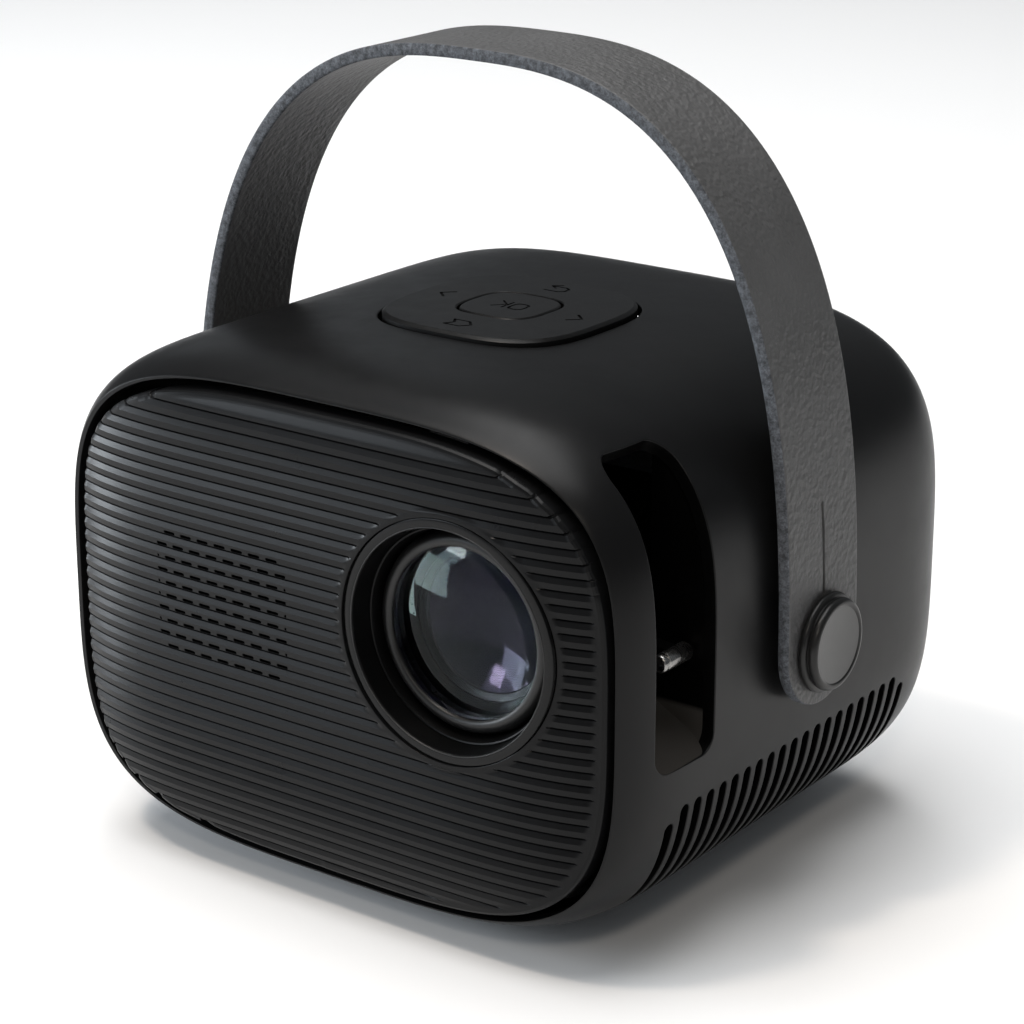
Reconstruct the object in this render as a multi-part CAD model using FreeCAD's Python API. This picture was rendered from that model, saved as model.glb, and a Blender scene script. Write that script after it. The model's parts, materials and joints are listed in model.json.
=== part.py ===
import FreeCAD, Part
import math
import os

os.makedirs("parts", exist_ok=True)

# ---------------------------------------------------------------- driving dimensions, millimetres
FOOT_HEIGHT = 2.5
BODY_HALF_WIDTH = 69.6
BODY_HALF_HEIGHT = 52.2
BODY_HALF_DEPTH = 65.0
BODY_CENTRE_Z = FOOT_HEIGHT + BODY_HALF_HEIGHT
SECTION_EXPONENT = 3.76
PLAN_EXPONENT = 7.8
SIDE_EXPONENT = 7.3
WALL = 2.6
FITTING_GAP = 0.9
LIP_Y = 58.9
LIP_TILT_DEG = 2.0
LEDGE_Y = 56.0
PANEL_HALF_WIDTH = 63.6
PANEL_HALF_HEIGHT = 46.8
PANEL_FACE_Y = 63.7
PANEL_PLATE = 2.2
RIB_PITCH = 2.594
RIB_DATUM_Z = 68.56
RIB_GROOVE = 0.8
RIB_DEPTH = 0.55
LENS_X = 32.0
LENS_Z = 64.0
BEZEL_RADIUS = 23.5
SPEAKER_X = -21.0
SPEAKER_Z = 59.5
WINDOW_FRONT_Y = -49.0
WINDOW_REAR_Y = -31.2
WINDOW_LOW_Z = 41.9
WINDOW_HIGH_Z = 99.5
VENT_COUNT = 21
VENT_PITCH = 4.22
VENT_WIDTH = 2.1
VENT_FIRST_Y = -43.3
VENT_TOP_Z = 33.5
STRAP_WIDTH = 25.0
STRAP_THICKNESS = 2.5
STRAP_INNER_X = 71.2
STRAP_SPRING_Z = 43.6
STRAP_RISE = 114.7
STRAP_EXPONENT = 2.75
KNOB_Z = 54.3
KNOB_RADIUS = 9.85
KNOB_OUTER_X = 78.5
POST_RADIUS = 3.0
RUNNING_FIT = 0.06
PAD_HALF = 22.4
PAD_TOP_Z = 108.1
PAD_EXPONENT = 3.2
OK_HALF = 8.9
ROCKER_Z = 102.4


# ---------------------------------------------------------------- small helpers
def vec(x, y, z):
    return FreeCAD.Vector(x, y, z)


def box(x0, x1, y0, y1, z0, z1):
    return Part.makeBox(x1 - x0, y1 - y0, z1 - z0, vec(x0, y0, z0))


def rod_x(x0, x1, y, z, radius):
    return Part.makeCylinder(radius, x1 - x0, vec(x0, y, z), vec(1, 0, 0))


def rod_y(y0, y1, x, z, radius):
    return Part.makeCylinder(radius, y1 - y0, vec(x, y0, z), vec(0, 1, 0))


def rod_z(z0, z1, x, y, radius):
    return Part.makeCylinder(radius, z1 - z0, vec(x, y, z0), vec(0, 0, 1))


def tube_y(y0, y1, x, z, outer, inner):
    return rod_y(y0, y1, x, z, outer).cut(rod_y(y0 - 1, y1 + 1, x, z, inner))


def tube_z(z0, z1, x, y, outer, inner):
    return rod_z(z0, z1, x, y, outer).cut(rod_z(z0 - 1, z1 + 1, x, y, inner))


def cone_y(y0, y1, x, z, radius0, radius1):
    return Part.makeCone(radius0, radius1, y1 - y0, vec(x, y0, z), vec(0, 1, 0))


def join(shapes):
    result = shapes[0]
    if len(shapes) > 1:
        result = result.fuse(shapes[1:])
    return result.removeSplitter()


def group(shapes):
    return Part.makeCompound(shapes)


def save(node, shape):
    shape.exportStep("parts/" + node + ".step")
    print(node, "solids", len(shape.Solids), "valid", shape.isValid(), "volume", round(shape.Volume, 1))


def signed_power(value, exponent):
    return math.copysign(abs(value) ** exponent, value)


def squircle_points(half_u, half_v, exponent, count):
    points = []
    for step in range(count):
        angle = 2 * math.pi * step / count - math.pi / 2
        cu = abs(math.cos(angle) / half_u) ** exponent
        cv = abs(math.sin(angle) / half_v) ** exponent
        radius = (cu + cv) ** (-1 / exponent)
        points.append((radius * math.cos(angle), radius * math.sin(angle)))
    return points


def closed_curve(points):
    curve = Part.BSplineCurve()
    curve.interpolate(Points=points, PeriodicFlag=True)
    return Part.Wire(curve.toShape())


def squircle_z(half, exponent, z0, z1, x=0.0, y=0.0):
    points = [vec(x + u, y + v, z0) for u, v in squircle_points(half, half, exponent, 40)]
    return Part.Face(closed_curve(points)).extrude(vec(0, 0, z1 - z0))


def outline_y(half_x, half_z, y0, y1):
    points = squircle_points(half_x, half_z, SECTION_EXPONENT, 56)
    wire = closed_curve([vec(u, y0, BODY_CENTRE_Z + v) for u, v in points])
    return Part.Face(wire).extrude(vec(0, y1 - y0, 0))


# ---------------------------------------------------------------- body surfaces
def body_section(y, inset):
    depth = BODY_HALF_DEPTH - inset
    across = (1 - (abs(y) / depth) ** PLAN_EXPONENT) ** (1 / PLAN_EXPONENT)
    upright = (1 - (abs(y) / depth) ** SIDE_EXPONENT) ** (1 / SIDE_EXPONENT)
    half_x = (BODY_HALF_WIDTH - inset) * across
    half_z = (BODY_HALF_HEIGHT - inset) * upright
    points = squircle_points(half_x, half_z, SECTION_EXPONENT, 56)
    return closed_curve([vec(u, y, BODY_CENTRE_Z + v) for u, v in points])


def body_solid(inset, reach):
    half = [0.0, 0.32, 0.55, 0.7, 0.8, 0.87, 0.92, 0.96, 1.0]
    depths = [-reach * part for part in reversed(half[1:])] + [reach * part for part in half]
    return Part.makeLoft([body_section(y, inset) for y in depths], True, False)


def soft_edge(flat, joint, end, radius, tight_radius):
    """Half profile as (distance, drop) stations: level, then a wide arc, then a tighter arc."""
    lean = math.asin((joint - flat) / radius)
    drop = radius * (1 - math.cos(lean))
    middle = math.asin((joint - flat) / radius / 2)
    stations = [(flat, 0.0)]
    stations.append((flat + radius * math.sin(middle), radius * (1 - math.cos(middle))))
    stations.append((joint, drop))
    centre = joint - tight_radius * math.sin(lean)
    last = math.asin((end - centre) / tight_radius)
    for turn in ((lean + last) / 2, last):
        fall = tight_radius * (math.cos(lean) - math.cos(turn))
        stations.append((centre + tight_radius * math.sin(turn), drop + fall))
    return stations


def dome_profile(stations, place):
    """Closed wire of the level centre, two arcs each side and a straight back."""
    right = [place(run, drop) for run, drop in stations]
    left = [place(-run, drop) for run, drop in stations]
    back_right = place(stations[-1][0], PANEL_FACE_Y - 40)
    back_left = place(-stations[-1][0], PANEL_FACE_Y - 40)
    edges = [Part.makeLine(left[0], right[0])]
    for side in (right, left):
        edges.append(Part.Arc(side[0], side[1], side[2]).toShape())
        edges.append(Part.Arc(side[2], side[3], side[4]).toShape())
    edges.append(Part.makeLine(right[4], back_right))
    edges.append(Part.makeLine(back_right, back_left))
    edges.append(Part.makeLine(back_left, left[4]))
    return Part.Wire(Part.__sortEdges__(edges))


def dome_solid(inset):
    front = -PANEL_FACE_Y + inset
    across = soft_edge(25, 45, 66, 250, 64)
    upright = soft_edge(20, 34, 49, 150, 48)
    low = BODY_CENTRE_Z - 49
    plan = dome_profile(across, lambda run, drop: vec(run, front + drop, low))
    side = dome_profile(upright, lambda run, drop: vec(-66, front + drop, BODY_CENTRE_Z + run))
    swept = Part.Face(plan).extrude(vec(0, 0, 98))
    return swept.common(Part.Face(side).extrude(vec(132, 0, 0)))


def mirror_y(shape):
    return shape.mirror(vec(0, 0, 0), vec(0, 1, 0))


# ---------------------------------------------------------------- shell
def lip_trimmer():
    block = box(-90, 90, -120, -LIP_Y, -60, 200)
    block.rotate(vec(0, -LIP_Y, BODY_CENTRE_Z), vec(1, 0, 0), -LIP_TILT_DEG)
    return block


def window_tool(grow, x0, x1):
    tool = box(x0, x1, WINDOW_FRONT_Y - grow, WINDOW_REAR_Y + grow, WINDOW_LOW_Z - grow, WINDOW_HIGH_Z + grow)
    edges = [edge for edge in tool.Edges if abs(edge.BoundBox.XLength - (x1 - x0)) < 0.01]
    return tool.makeFillet(3.8 + grow, edges)


def vent_tools(side):
    tools = []
    for index in range(VENT_COUNT):
        y = VENT_FIRST_Y + VENT_PITCH * index
        top = VENT_TOP_Z - VENT_WIDTH / 2
        if index in (0, VENT_COUNT - 1):
            top = top - 2.6
        x0 = min(side * 52, side * 75)
        slot = box(x0, x0 + 23, y - VENT_WIDTH / 2, y + VENT_WIDTH / 2, -2, top)
        tools.append(slot.fuse(rod_x(x0, x0 + 23, y, top, VENT_WIDTH / 2)))
    return tools


def foot_places():
    return [(sx * 24, sy * 19.5) for sx in (-1, 1) for sy in (-1, 1)]


def make_shell():
    shell = body_solid(0, 61.9).cut(body_solid(WALL, 60.6))
    shell = shell.cut([lip_trimmer(), mirror_y(lip_trimmer())])
    pocket = outline_y(64.55, 47.75, -70, -LEDGE_Y)
    shell = shell.cut([pocket, mirror_y(pocket)])
    tools = vent_tools(1) + vent_tools(-1)
    tools.append(window_tool(0, 50, 80))
    tools.append(squircle_z(23.0, PAD_EXPONENT, 95, 115))
    tools.append(box(-30, 30, -32, 32, -2, 12))
    for side in (-1, 1):
        x0 = min(side * 60, side * 75)
        tools.append(rod_x(x0, x0 + 15, 0, KNOB_Z, POST_RADIUS + 0.05))
    return shell.cut(tools)


def make_vent_screens():
    sheet = body_solid(WALL, 60.6).cut(body_solid(WALL + 0.8, 60.0))
    screens = []
    for side in (-1, 1):
        x0 = min(side * 50, side * 70)
        screens.append(sheet.common(box(x0, x0 + 20, -46, 44, 8, 36)))
    return group(screens)


# ---------------------------------------------------------------- front panel and lens bezel
def rib_grooves(first, last, x0, x1):
    slabs = []
    for index in range(first, last + 1):
        z = RIB_DATUM_Z + RIB_PITCH * index
        reach = PANEL_HALF_WIDTH * (1 - (abs(z - BODY_CENTRE_Z) / PANEL_HALF_HEIGHT) ** 3.76) ** (1 / 3.76)
        left = max(x0, -reach - 1)
        right = min(x1, reach - 2.3)
        slabs.append(box(left, right, -75, -50, z - RIB_GROOVE / 2, z + RIB_GROOVE / 2))
    return group(slabs).cut(dome_solid(RIB_DEPTH))


def speaker_dashes():
    tools = []
    for row in range(12):
        z = RIB_DATUM_Z + RIB_PITCH * (2 - row)
        count = 8
        if row in (0, 11):
            count = 6
        shift = 1.03 * (1 - 2 * (row % 2))
        for column in range(count):
            x = SPEAKER_X + shift + 4.1 * (column - (count - 1) / 2)
            tools.append(box(x - 1.35, x + 1.35, -70, -55, z - 0.4, z + 0.4))
    return tools


def plain_panel():
    skin = dome_solid(0).common(outline_y(PANEL_HALF_WIDTH, PANEL_HALF_HEIGHT, -70, -LEDGE_Y))
    hollow = dome_solid(PANEL_PLATE).common(outline_y(61.4, 44.6, -70, -50))
    return skin.cut(hollow)


def make_front_panel():
    panel = plain_panel()
    panel = panel.cut(rib_grooves(-22, 11, -70, 70))
    tools = speaker_dashes()
    tools.append(rod_y(-70, -50, LENS_X, LENS_Z, 22.45))
    tools.append(rod_y(-70, -59.9, LENS_X, LENS_Z, BEZEL_RADIUS + 0.05))
    panel = panel.cut(tools)
    collar = tube_y(-60.0, -57.5, LENS_X, LENS_Z, 24.8, 22.45)
    return panel.fuse(collar.common(outline_y(61.5, 44.7, -70, -50)))


def make_lens_bezel():
    flange = rod_y(-66, -60.0, LENS_X, LENS_Z, BEZEL_RADIUS)
    flange = flange.common(dome_solid(0.4))
    ring = flange.fuse(rod_y(-60.0, -56.6, LENS_X, LENS_Z, 22.4))
    ring = ring.cut(cone_y(-66, -58.7, LENS_X, LENS_Z, 21.55, 20.8))
    return ring.cut(rod_y(-59, -56, LENS_X, LENS_Z, 19.9))


# ---------------------------------------------------------------- focus window, ring and lens
def make_window_liner():
    """Sleeve behind the shell's wall, with a floor that slopes down and out to the opening's edge."""
    sleeve = window_tool(1.4, 55.0, 80).cut(window_tool(0, 50, 85))
    sleeve = sleeve.common(body_solid(WALL, 60.6))
    floor = box(0, 22, WINDOW_FRONT_Y, WINDOW_REAR_Y, -4.0, 0)
    floor.rotate(vec(0, 0, 0), vec(0, 1, 0), 28)
    floor.translate(vec(55.2, 0, 49.3))
    floor = floor.common(window_tool(0, 55.0, 80)).common(body_solid(0, 61.9))
    return sleeve.fuse(floor).removeSplitter()


PIN_RUN = 31.5
PIN_DROP = 3.75
GRIP_RADIUS = 24.9
GUIDE_RADIUS = 20.5
BARREL_RADIUS = 18.3


def arm_angle():
    return math.atan2(-PIN_DROP, PIN_RUN)


def make_focus_ring():
    ring = tube_y(-41.2, -33.2, LENS_X, LENS_Z, 24.6, GUIDE_RADIUS + RUNNING_FIT)
    teeth = []
    for index in range(40):
        angle = 2 * math.pi * index / 40
        x = LENS_X + GRIP_RADIUS * math.cos(angle)
        z = LENS_Z + GRIP_RADIUS * math.sin(angle)
        teeth.append(rod_y(-42, -32, x, z, 0.7))
    return ring.cut(teeth)


def make_focus_arm():
    arm = box(24.0, 31.6, -37.6, -34.4, -1.6, 1.6)
    arm.rotate(vec(0, 0, 0), vec(0, 1, 0), -math.degrees(arm_angle()))
    arm.translate(vec(LENS_X, 0, LENS_Z))
    pin = rod_y(-50, -20, LENS_X + PIN_RUN, LENS_Z - PIN_DROP, 1.8)
    return arm.cut([rod_y(-50, -20, LENS_X, LENS_Z, 24.6), pin])


def make_focus_pin():
    x = LENS_X + PIN_RUN
    z = LENS_Z - PIN_DROP
    pin = rod_y(-41.0, -31.9, x, z, 1.8)
    rims = [edge for edge in pin.Edges if edge.BoundBox.YLength < 0.01]
    return pin.makeFillet(0.5, rims)


def make_lens_guide():
    guide = tube_y(-50.0, -18.0, LENS_X, LENS_Z, GUIDE_RADIUS, BARREL_RADIUS + RUNNING_FIT)
    shoulder = tube_y(-33.1, -30.6, LENS_X, LENS_Z, 23.0, 20.0)
    flange = box(LENS_X - 23, LENS_X + 23, -21.0, -18.0, LENS_Z - 23, LENS_Z + 23)
    flange = flange.cut(rod_y(-25, -15, LENS_X, LENS_Z, 19.5))
    return join([guide, shoulder, flange])


def make_guide_clip():
    return tube_y(-43.0, -41.3, LENS_X, LENS_Z, 22.6, GUIDE_RADIUS)


def make_lens_barrel():
    barrel = rod_y(-56.2, -22.5, LENS_X, LENS_Z, BARREL_RADIUS)
    bores = [rod_y(-60, -49.5, LENS_X, LENS_Z, 16.7)]
    bores.append(rod_y(-50, -36.0, LENS_X, LENS_Z, 14.4))
    bores.append(rod_y(-37, -20.0, LENS_X, LENS_Z, 12.2))
    return barrel.cut(bores)


def make_lens_retainer():
    ring = tube_y(-57.3, -56.2, LENS_X, LENS_Z, 18.25, 16.35)
    rims = [edge for edge in ring.Edges if abs(edge.BoundBox.YMin + 57.3) < 0.01 and edge.BoundBox.YLength < 0.01]
    return ring.makeFillet(0.45, rims)


def lens_disc(radius, front_y, rear_y, front_bulge, rear_bulge):
    disc = rod_y(front_y, rear_y, LENS_X, LENS_Z, radius)
    if front_bulge > 0:
        ball_radius = (radius ** 2 + front_bulge ** 2) / (2 * front_bulge)
        ball = Part.makeSphere(ball_radius, vec(LENS_X, front_y - front_bulge + ball_radius, LENS_Z))
        cap = rod_y(front_y - front_bulge - 1, front_y, LENS_X, LENS_Z, radius)
        disc = disc.fuse(ball.common(cap))
    if rear_bulge > 0:
        ball_radius = (radius ** 2 + rear_bulge ** 2) / (2 * rear_bulge)
        ball = Part.makeSphere(ball_radius, vec(LENS_X, rear_y + rear_bulge - ball_radius, LENS_Z))
        cap = rod_y(rear_y, rear_y + rear_bulge + 1, LENS_X, LENS_Z, radius)
        disc = disc.fuse(ball.common(cap))
    if rear_bulge < 0:
        ball_radius = (radius ** 2 + rear_bulge ** 2) / (-2 * rear_bulge)
        ball = Part.makeSphere(ball_radius, vec(LENS_X, rear_y + rear_bulge + ball_radius, LENS_Z))
        disc = disc.cut(ball)
    return disc.removeSplitter()


# ---------------------------------------------------------------- light engine
def engine_feet():
    return [(x, y) for x in (10, 44) for y in (-16, 26)]


def make_engine_case():
    case = box(9, 55, -18, 35, 40, 88)
    case = case.cut(box(11, 53, -16, 36, 42, 86))
    opening = rod_y(-25, -15, LENS_X, LENS_Z, 18.4)
    feet = [box(x, x + 4, y, y + 6, 12, 40) for x, y in engine_feet()]
    return join([case.cut(opening)] + feet)


def engine_plate(y0, y1, half_x, half_z):
    return box(LENS_X - half_x, LENS_X + half_x, y0, y1, LENS_Z - half_z, LENS_Z + half_z)


def make_plate_frame():
    frame = engine_plate(-10, 20, 21, 22).cut(engine_plate(-12, 22, 18.5, 14))
    for y in (-8.0, 2.0, 9.0, 15.0):
        frame = frame.cut(engine_plate(y, y + 2.0, 19.5, 15))
    return frame


def make_light_cone():
    outer = Part.makeLoft([square_wire(20.6, 34.0), square_wire(20.6, 20.0)], True, False)
    inner = Part.makeLoft([square_wire(6.0, 34.1), square_wire(17.5, 19.9)], True, False)
    return outer.cut(inner)


def square_wire(half, y):
    corners = [vec(LENS_X - half, y, LENS_Z - half), vec(LENS_X + half, y, LENS_Z - half)]
    corners.append(vec(LENS_X + half, y, LENS_Z + half))
    corners.append(vec(LENS_X - half, y, LENS_Z + half))
    corners.append(corners[0])
    return Part.makePolygon(corners)


def make_heat_sink():
    parts = [box(7, 57, 36.6, 40, 38, 90)]
    for index in range(13):
        x = 7 + 4.05 * index
        parts.append(box(x, x + 1.4, 39.5, 54, 38, 90))
    return join(parts)


def make_led_module():
    board = box(LENS_X - 12, LENS_X + 12, 35.0, 36.6, LENS_Z - 12, LENS_Z + 12)
    chip = box(LENS_X - 4.5, LENS_X + 4.5, 34.2, 35.0, LENS_Z - 4.5, LENS_Z + 4.5)
    return join([board, chip])


# ---------------------------------------------------------------- fan
FAN_X = -30.0
FAN_Z = 62.0
FAN_HALF = 25.0


def make_fan_frame():
    frame = box(FAN_X - FAN_HALF, FAN_X + FAN_HALF, 42, 55, FAN_Z - FAN_HALF, FAN_Z + FAN_HALF)
    frame = frame.cut(rod_y(40, 60, FAN_X, FAN_Z, 23.6))
    hub = rod_y(53.2, 55, FAN_X, FAN_Z, 10.5)
    spokes = []
    for index in range(4):
        arm = box(9, 24.4, 53.6, 55, -1.1, 1.1)
        arm.rotate(vec(0, 0, 0), vec(0, 1, 0), 45 + 90 * index)
        arm.translate(vec(FAN_X, 0, FAN_Z))
        spokes.append(arm)
    holes = [rod_y(40, 60, FAN_X + sx * 21, FAN_Z + sz * 21, 1.8) for sx in (-1, 1) for sz in (-1, 1)]
    shaft = rod_y(45.5, 53.5, FAN_X, FAN_Z, 1.5)
    return join([frame, hub, shaft] + spokes).cut(holes)


def make_fan_rotor():
    hub = tube_y(43.4, 52.8, FAN_X, FAN_Z, 10.2, 1.5 + 0.05)
    blades = []
    for index in range(7):
        blade = box(9.4, 22.4, -0.55, 0.55, -5.2, 5.2)
        blade.rotate(vec(0, 0, 0), vec(1, 0, 0), 52)
        blade.translate(vec(0, 48.1, 0))
        blade = blade.common(rod_y(43.4, 52.8, 0, 0, 22.6))
        blade.rotate(vec(0, 0, 0), vec(0, 1, 0), 360 * index / 7)
        blade.translate(vec(FAN_X, 0, FAN_Z))
        blades.append(blade)
    return join([hub] + blades)


# ---------------------------------------------------------------- speaker
def make_speaker_basket():
    rim = tube_y(-60.2, -58.2, SPEAKER_X, SPEAKER_Z, 19.6, 16.6)
    body = cone_y(-58.2, -47.0, SPEAKER_X, SPEAKER_Z, 18.4, 10.5)
    body = body.cut(cone_y(-58.3, -48.4, SPEAKER_X, SPEAKER_Z, 17.2, 9.2))
    body = body.cut(rod_y(-50, -45, SPEAKER_X, SPEAKER_Z, 5.0))
    return join([rim, body])


def make_speaker_cone():
    cone = cone_y(-58.9, -51.0, SPEAKER_X, SPEAKER_Z, 16.5, 5.6)
    cone = cone.cut(cone_y(-59.7, -51.8, SPEAKER_X, SPEAKER_Z, 16.9, 5.0))
    roll = Part.makeTorus(15.6, 0.9, vec(SPEAKER_X, -58.9, SPEAKER_Z), vec(0, 1, 0))
    cap = Part.makeSphere(6.4, vec(SPEAKER_X, -49.4, SPEAKER_Z))
    cap = cap.common(rod_y(-57, -52.2, SPEAKER_X, SPEAKER_Z, 5.8))
    return join([cone, roll, cap])


def make_speaker_magnet():
    return rod_y(-47.0, -38.5, SPEAKER_X, SPEAKER_Z, 13.0)


def make_speaker_bracket():
    plate = box(SPEAKER_X - 19.8, SPEAKER_X + 19.8, -58.2, -55.8, 15, SPEAKER_Z + 21)
    plate = plate.cut(rod_y(-60, -50, SPEAKER_X, SPEAKER_Z, 18.4))
    foot = box(SPEAKER_X - 14, SPEAKER_X + 14, -56.4, -46, 12, 17)
    foot = foot.cut(box(-60, 60, -55, -40, 14, 20))
    rim = outline_y(61.2, 44.4, -60, -40)
    return join([plate, foot]).common(rim)


# ---------------------------------------------------------------- boards, tray and base
def make_tray():
    plate = box(-52, 52, -47, 51, 10, 12)
    bosses = [rod_z(7.8, 10.5, sx * 25, sy * 28.4, 3.4) for sx in (-1, 1) for sy in (-1, 1)]
    posts = [rod_z(12, 15, sx * 44, sy * 38, 2.4) for sx in (-1, 1) for sy in (-1, 1)]
    fan_cradle = box(FAN_X - FAN_HALF, FAN_X + FAN_HALF, 42, 51, 12, FAN_Z - FAN_HALF)
    fan_cradle = fan_cradle.cut(box(FAN_X - 22, FAN_X + 22, 40, 53, 14, FAN_Z - 27))
    holes = [rod_z(7, 14, sx * 25, sy * 28.4, 1.2) for sx in (-1, 1) for sy in (-1, 1)]
    tray = join([plate, fan_cradle] + bosses + posts)
    return tray.cut(holes).common(body_solid(WALL + FITTING_GAP, 60.0))


def make_base_plate():
    lid = box(-29.7, 29.7, -31.7, 31.7, 3.4, 6.3)
    flange = box(-34, 34, -36, 36, 6.3, 7.8)
    plate = join([lid, flange])
    tools = [rod_z(0, 9, 0, 0, 5.0)]
    for sx in (-1, 1):
        for sy in (-1, 1):
            tools.append(rod_z(0, 9, sx * 25, sy * 28.4, 1.6))
            tools.append(rod_z(0, 4.9, sx * 25, sy * 28.4, 3.0))
    for x, y in foot_places():
        tools.append(rod_z(0, 4.4, x, y, 5.0))
    for index in range(7):
        y = 11.0 + 2.6 * index
        tools.append(box(-14, 14, y, y + 1.3, 0, 9))
        tools.append(box(-14, 14, -y - 1.3, -y, 0, 9))
    return plate.cut(tools)


def make_base_screws():
    screws = []
    for sx in (-1, 1):
        for sy in (-1, 1):
            x = sx * 25
            y = sy * 28.4
            head = rod_z(3.5, 4.9, x, y, 2.8)
            shank = rod_z(4.9, 11.5, x, y, 1.2)
            slot = box(x - 1.7, x + 1.7, y - 0.35, y + 0.35, 3, 4.2)
            cross = box(x - 0.35, x + 0.35, y - 1.7, y + 1.7, 3, 4.2)
            screws.append(join([head, shank]).cut([slot, cross]))
    return group(screws)


def make_tripod_insert():
    insert = tube_z(3.5, 9.6, 0, 0, 5.0, 3.175)
    return insert.fuse(tube_z(7.8, 9.6, 0, 0, 6.6, 3.175)).removeSplitter()


def make_feet():
    feet = []
    for x, y in foot_places():
        foot = rod_z(0, 4.4, x, y, 5.0)
        rims = [edge for edge in foot.Edges if edge.BoundBox.ZMax < 0.01]
        feet.append(foot.makeFillet(0.8, rims))
    return group(feet)


def make_main_board():
    board = box(-50, 50, -42, 48, 15.0, 16.6)
    strip = box(-44, 44, 47, 57.2, 15.0, 16.6)
    board = board.fuse(strip).removeSplitter()
    board = board.cut(box(FAN_X - 25.2, FAN_X + 25.2, 41.8, 51.2, 10, 20))
    holes = [box(x - 0.4, x + 4.4, y - 0.4, y + 6.4, 10, 20) for x, y in engine_feet()]
    return board.cut(holes)


def make_board_chips():
    chips = [box(-12, 4, -12, 4, 16.6, 18.4)]
    chips.append(box(-34, -24, -20, -4, 16.6, 17.8))
    chips.append(box(-34, -24, 4, 20, 16.6, 17.8))
    chips.append(box(16, 26, -36, -28, 16.6, 18.0))
    for index in range(4):
        chips.append(rod_z(16.6, 25, -46, -18 + 10 * index, 3.2))
    return group(chips)


# ---------------------------------------------------------------- rear panel and sockets
PORT_Z = 24.0
POWER_X = -43.0
DC_X = -27.0
HDMI_X = -6.0
USB_X = 14.0
AUDIO_X = 29.0
SENSOR_X = 43.0
SLOT_COUNT = 20
SLOT_FIRST_Z = 38.0
SLOT_PITCH = 2.73
SLOT_HEIGHT = 1.5


def make_rear_panel():
    panel = mirror_y(plain_panel())
    tools = []
    for index in range(SLOT_COUNT):
        z = SLOT_FIRST_Z + SLOT_PITCH * index
        tools.append(box(-52, -5, 55, 70, z, z + SLOT_HEIGHT))
        tools.append(box(5, 52, 55, 70, z, z + SLOT_HEIGHT))
    tools.append(rod_y(50, 70, POWER_X, PORT_Z, 5.3))
    tools.append(rod_y(50, 70, DC_X, PORT_Z, 4.3))
    tools.append(box(HDMI_X - 8.2, HDMI_X + 8.2, 50, 70, PORT_Z - 3.4, PORT_Z + 3.4))
    tools.append(box(USB_X - 7.4, USB_X + 7.4, 50, 70, PORT_Z - 3.7, PORT_Z + 3.7))
    tools.append(rod_y(50, 70, AUDIO_X, PORT_Z, 3.6))
    tools.append(rod_y(50, 70, SENSOR_X, PORT_Z, 4.5))
    return panel.cut(tools)


def make_dc_inlet():
    base = box(DC_X - 5, DC_X + 5, 51.4, 57.2, 16.6, PORT_Z + 5)
    block = join([base, rod_y(57.2, 62.6, DC_X, PORT_Z, 4.2)])
    block = block.cut(rod_y(53, 64, DC_X, PORT_Z, 2.8))
    return block


def make_dc_pin():
    return rod_y(53, 61.6, DC_X, PORT_Z, 1.05)


def make_hdmi_socket():
    shell = box(HDMI_X - 8.0, HDMI_X + 8.0, 51.4, 62.4, PORT_Z - 3.2, PORT_Z + 3.2)
    shell = shell.cut(box(HDMI_X - 7.1, HDMI_X + 7.1, 53, 64, PORT_Z - 2.3, PORT_Z + 2.3))
    tongue = box(HDMI_X - 5.6, HDMI_X + 5.6, 52.5, 61.2, PORT_Z - 0.5, PORT_Z + 0.5)
    stand = box(HDMI_X - 7.5, HDMI_X + 7.5, 51.4, 57.2, 16.6, PORT_Z - 3.2)
    return join([shell, tongue, stand])


def make_usb_socket():
    shell = box(USB_X - 7.2, USB_X + 7.2, 48, 62.4, PORT_Z - 3.5, PORT_Z + 3.5)
    shell = shell.cut(box(USB_X - 6.4, USB_X + 6.4, 52, 64, PORT_Z - 2.7, PORT_Z + 2.7))
    tongue = box(USB_X - 5.7, USB_X + 5.7, 51.5, 61.6, PORT_Z + 0.6, PORT_Z + 2.1)
    stand = box(USB_X - 6.8, USB_X + 6.8, 48, 57.2, 16.6, PORT_Z - 3.5)
    return join([shell, tongue, stand])


def make_audio_socket():
    block = box(AUDIO_X - 4, AUDIO_X + 4, 47, 57.2, 16.6, PORT_Z + 4)
    block = block.fuse(rod_y(57.2, 62.6, AUDIO_X, PORT_Z, 3.5))
    return block.cut(rod_y(49, 64, AUDIO_X, PORT_Z, 1.8)).removeSplitter()


def make_sensor_window():
    cap = rod_y(57.6, 63.0, SENSOR_X, PORT_Z, 4.45)
    rims = [edge for edge in cap.Edges if abs(edge.BoundBox.YMin - 63.0) < 0.01]
    return cap.makeFillet(0.8, rims)


def make_power_button():
    cap = rod_y(58.4, 63.4, POWER_X, PORT_Z, 5.0)
    rims = [edge for edge in cap.Edges if abs(edge.BoundBox.YMin - 63.4) < 0.01]
    cap = cap.makeFillet(0.5, rims)
    stem = rod_y(56.2, 58.4, POWER_X, PORT_Z, 1.6)
    flange = rod_y(57.9, 58.7, POWER_X, PORT_Z, 6.2)
    mark = tube_y(63.2, 64, POWER_X, PORT_Z, 2.4, 1.9).cut(box(POWER_X - 0.9, POWER_X + 0.9, 60, 66, PORT_Z, 30))
    bar = box(POWER_X - 0.25, POWER_X + 0.25, 63.2, 64, PORT_Z + 0.6, PORT_Z + 2.7)
    return join([cap, stem, flange]).cut([mark, bar])


def make_power_switch():
    return box(POWER_X - 3.2, POWER_X + 3.2, 51.4, 55.4, 16.6, PORT_Z + 3.2)


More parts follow.
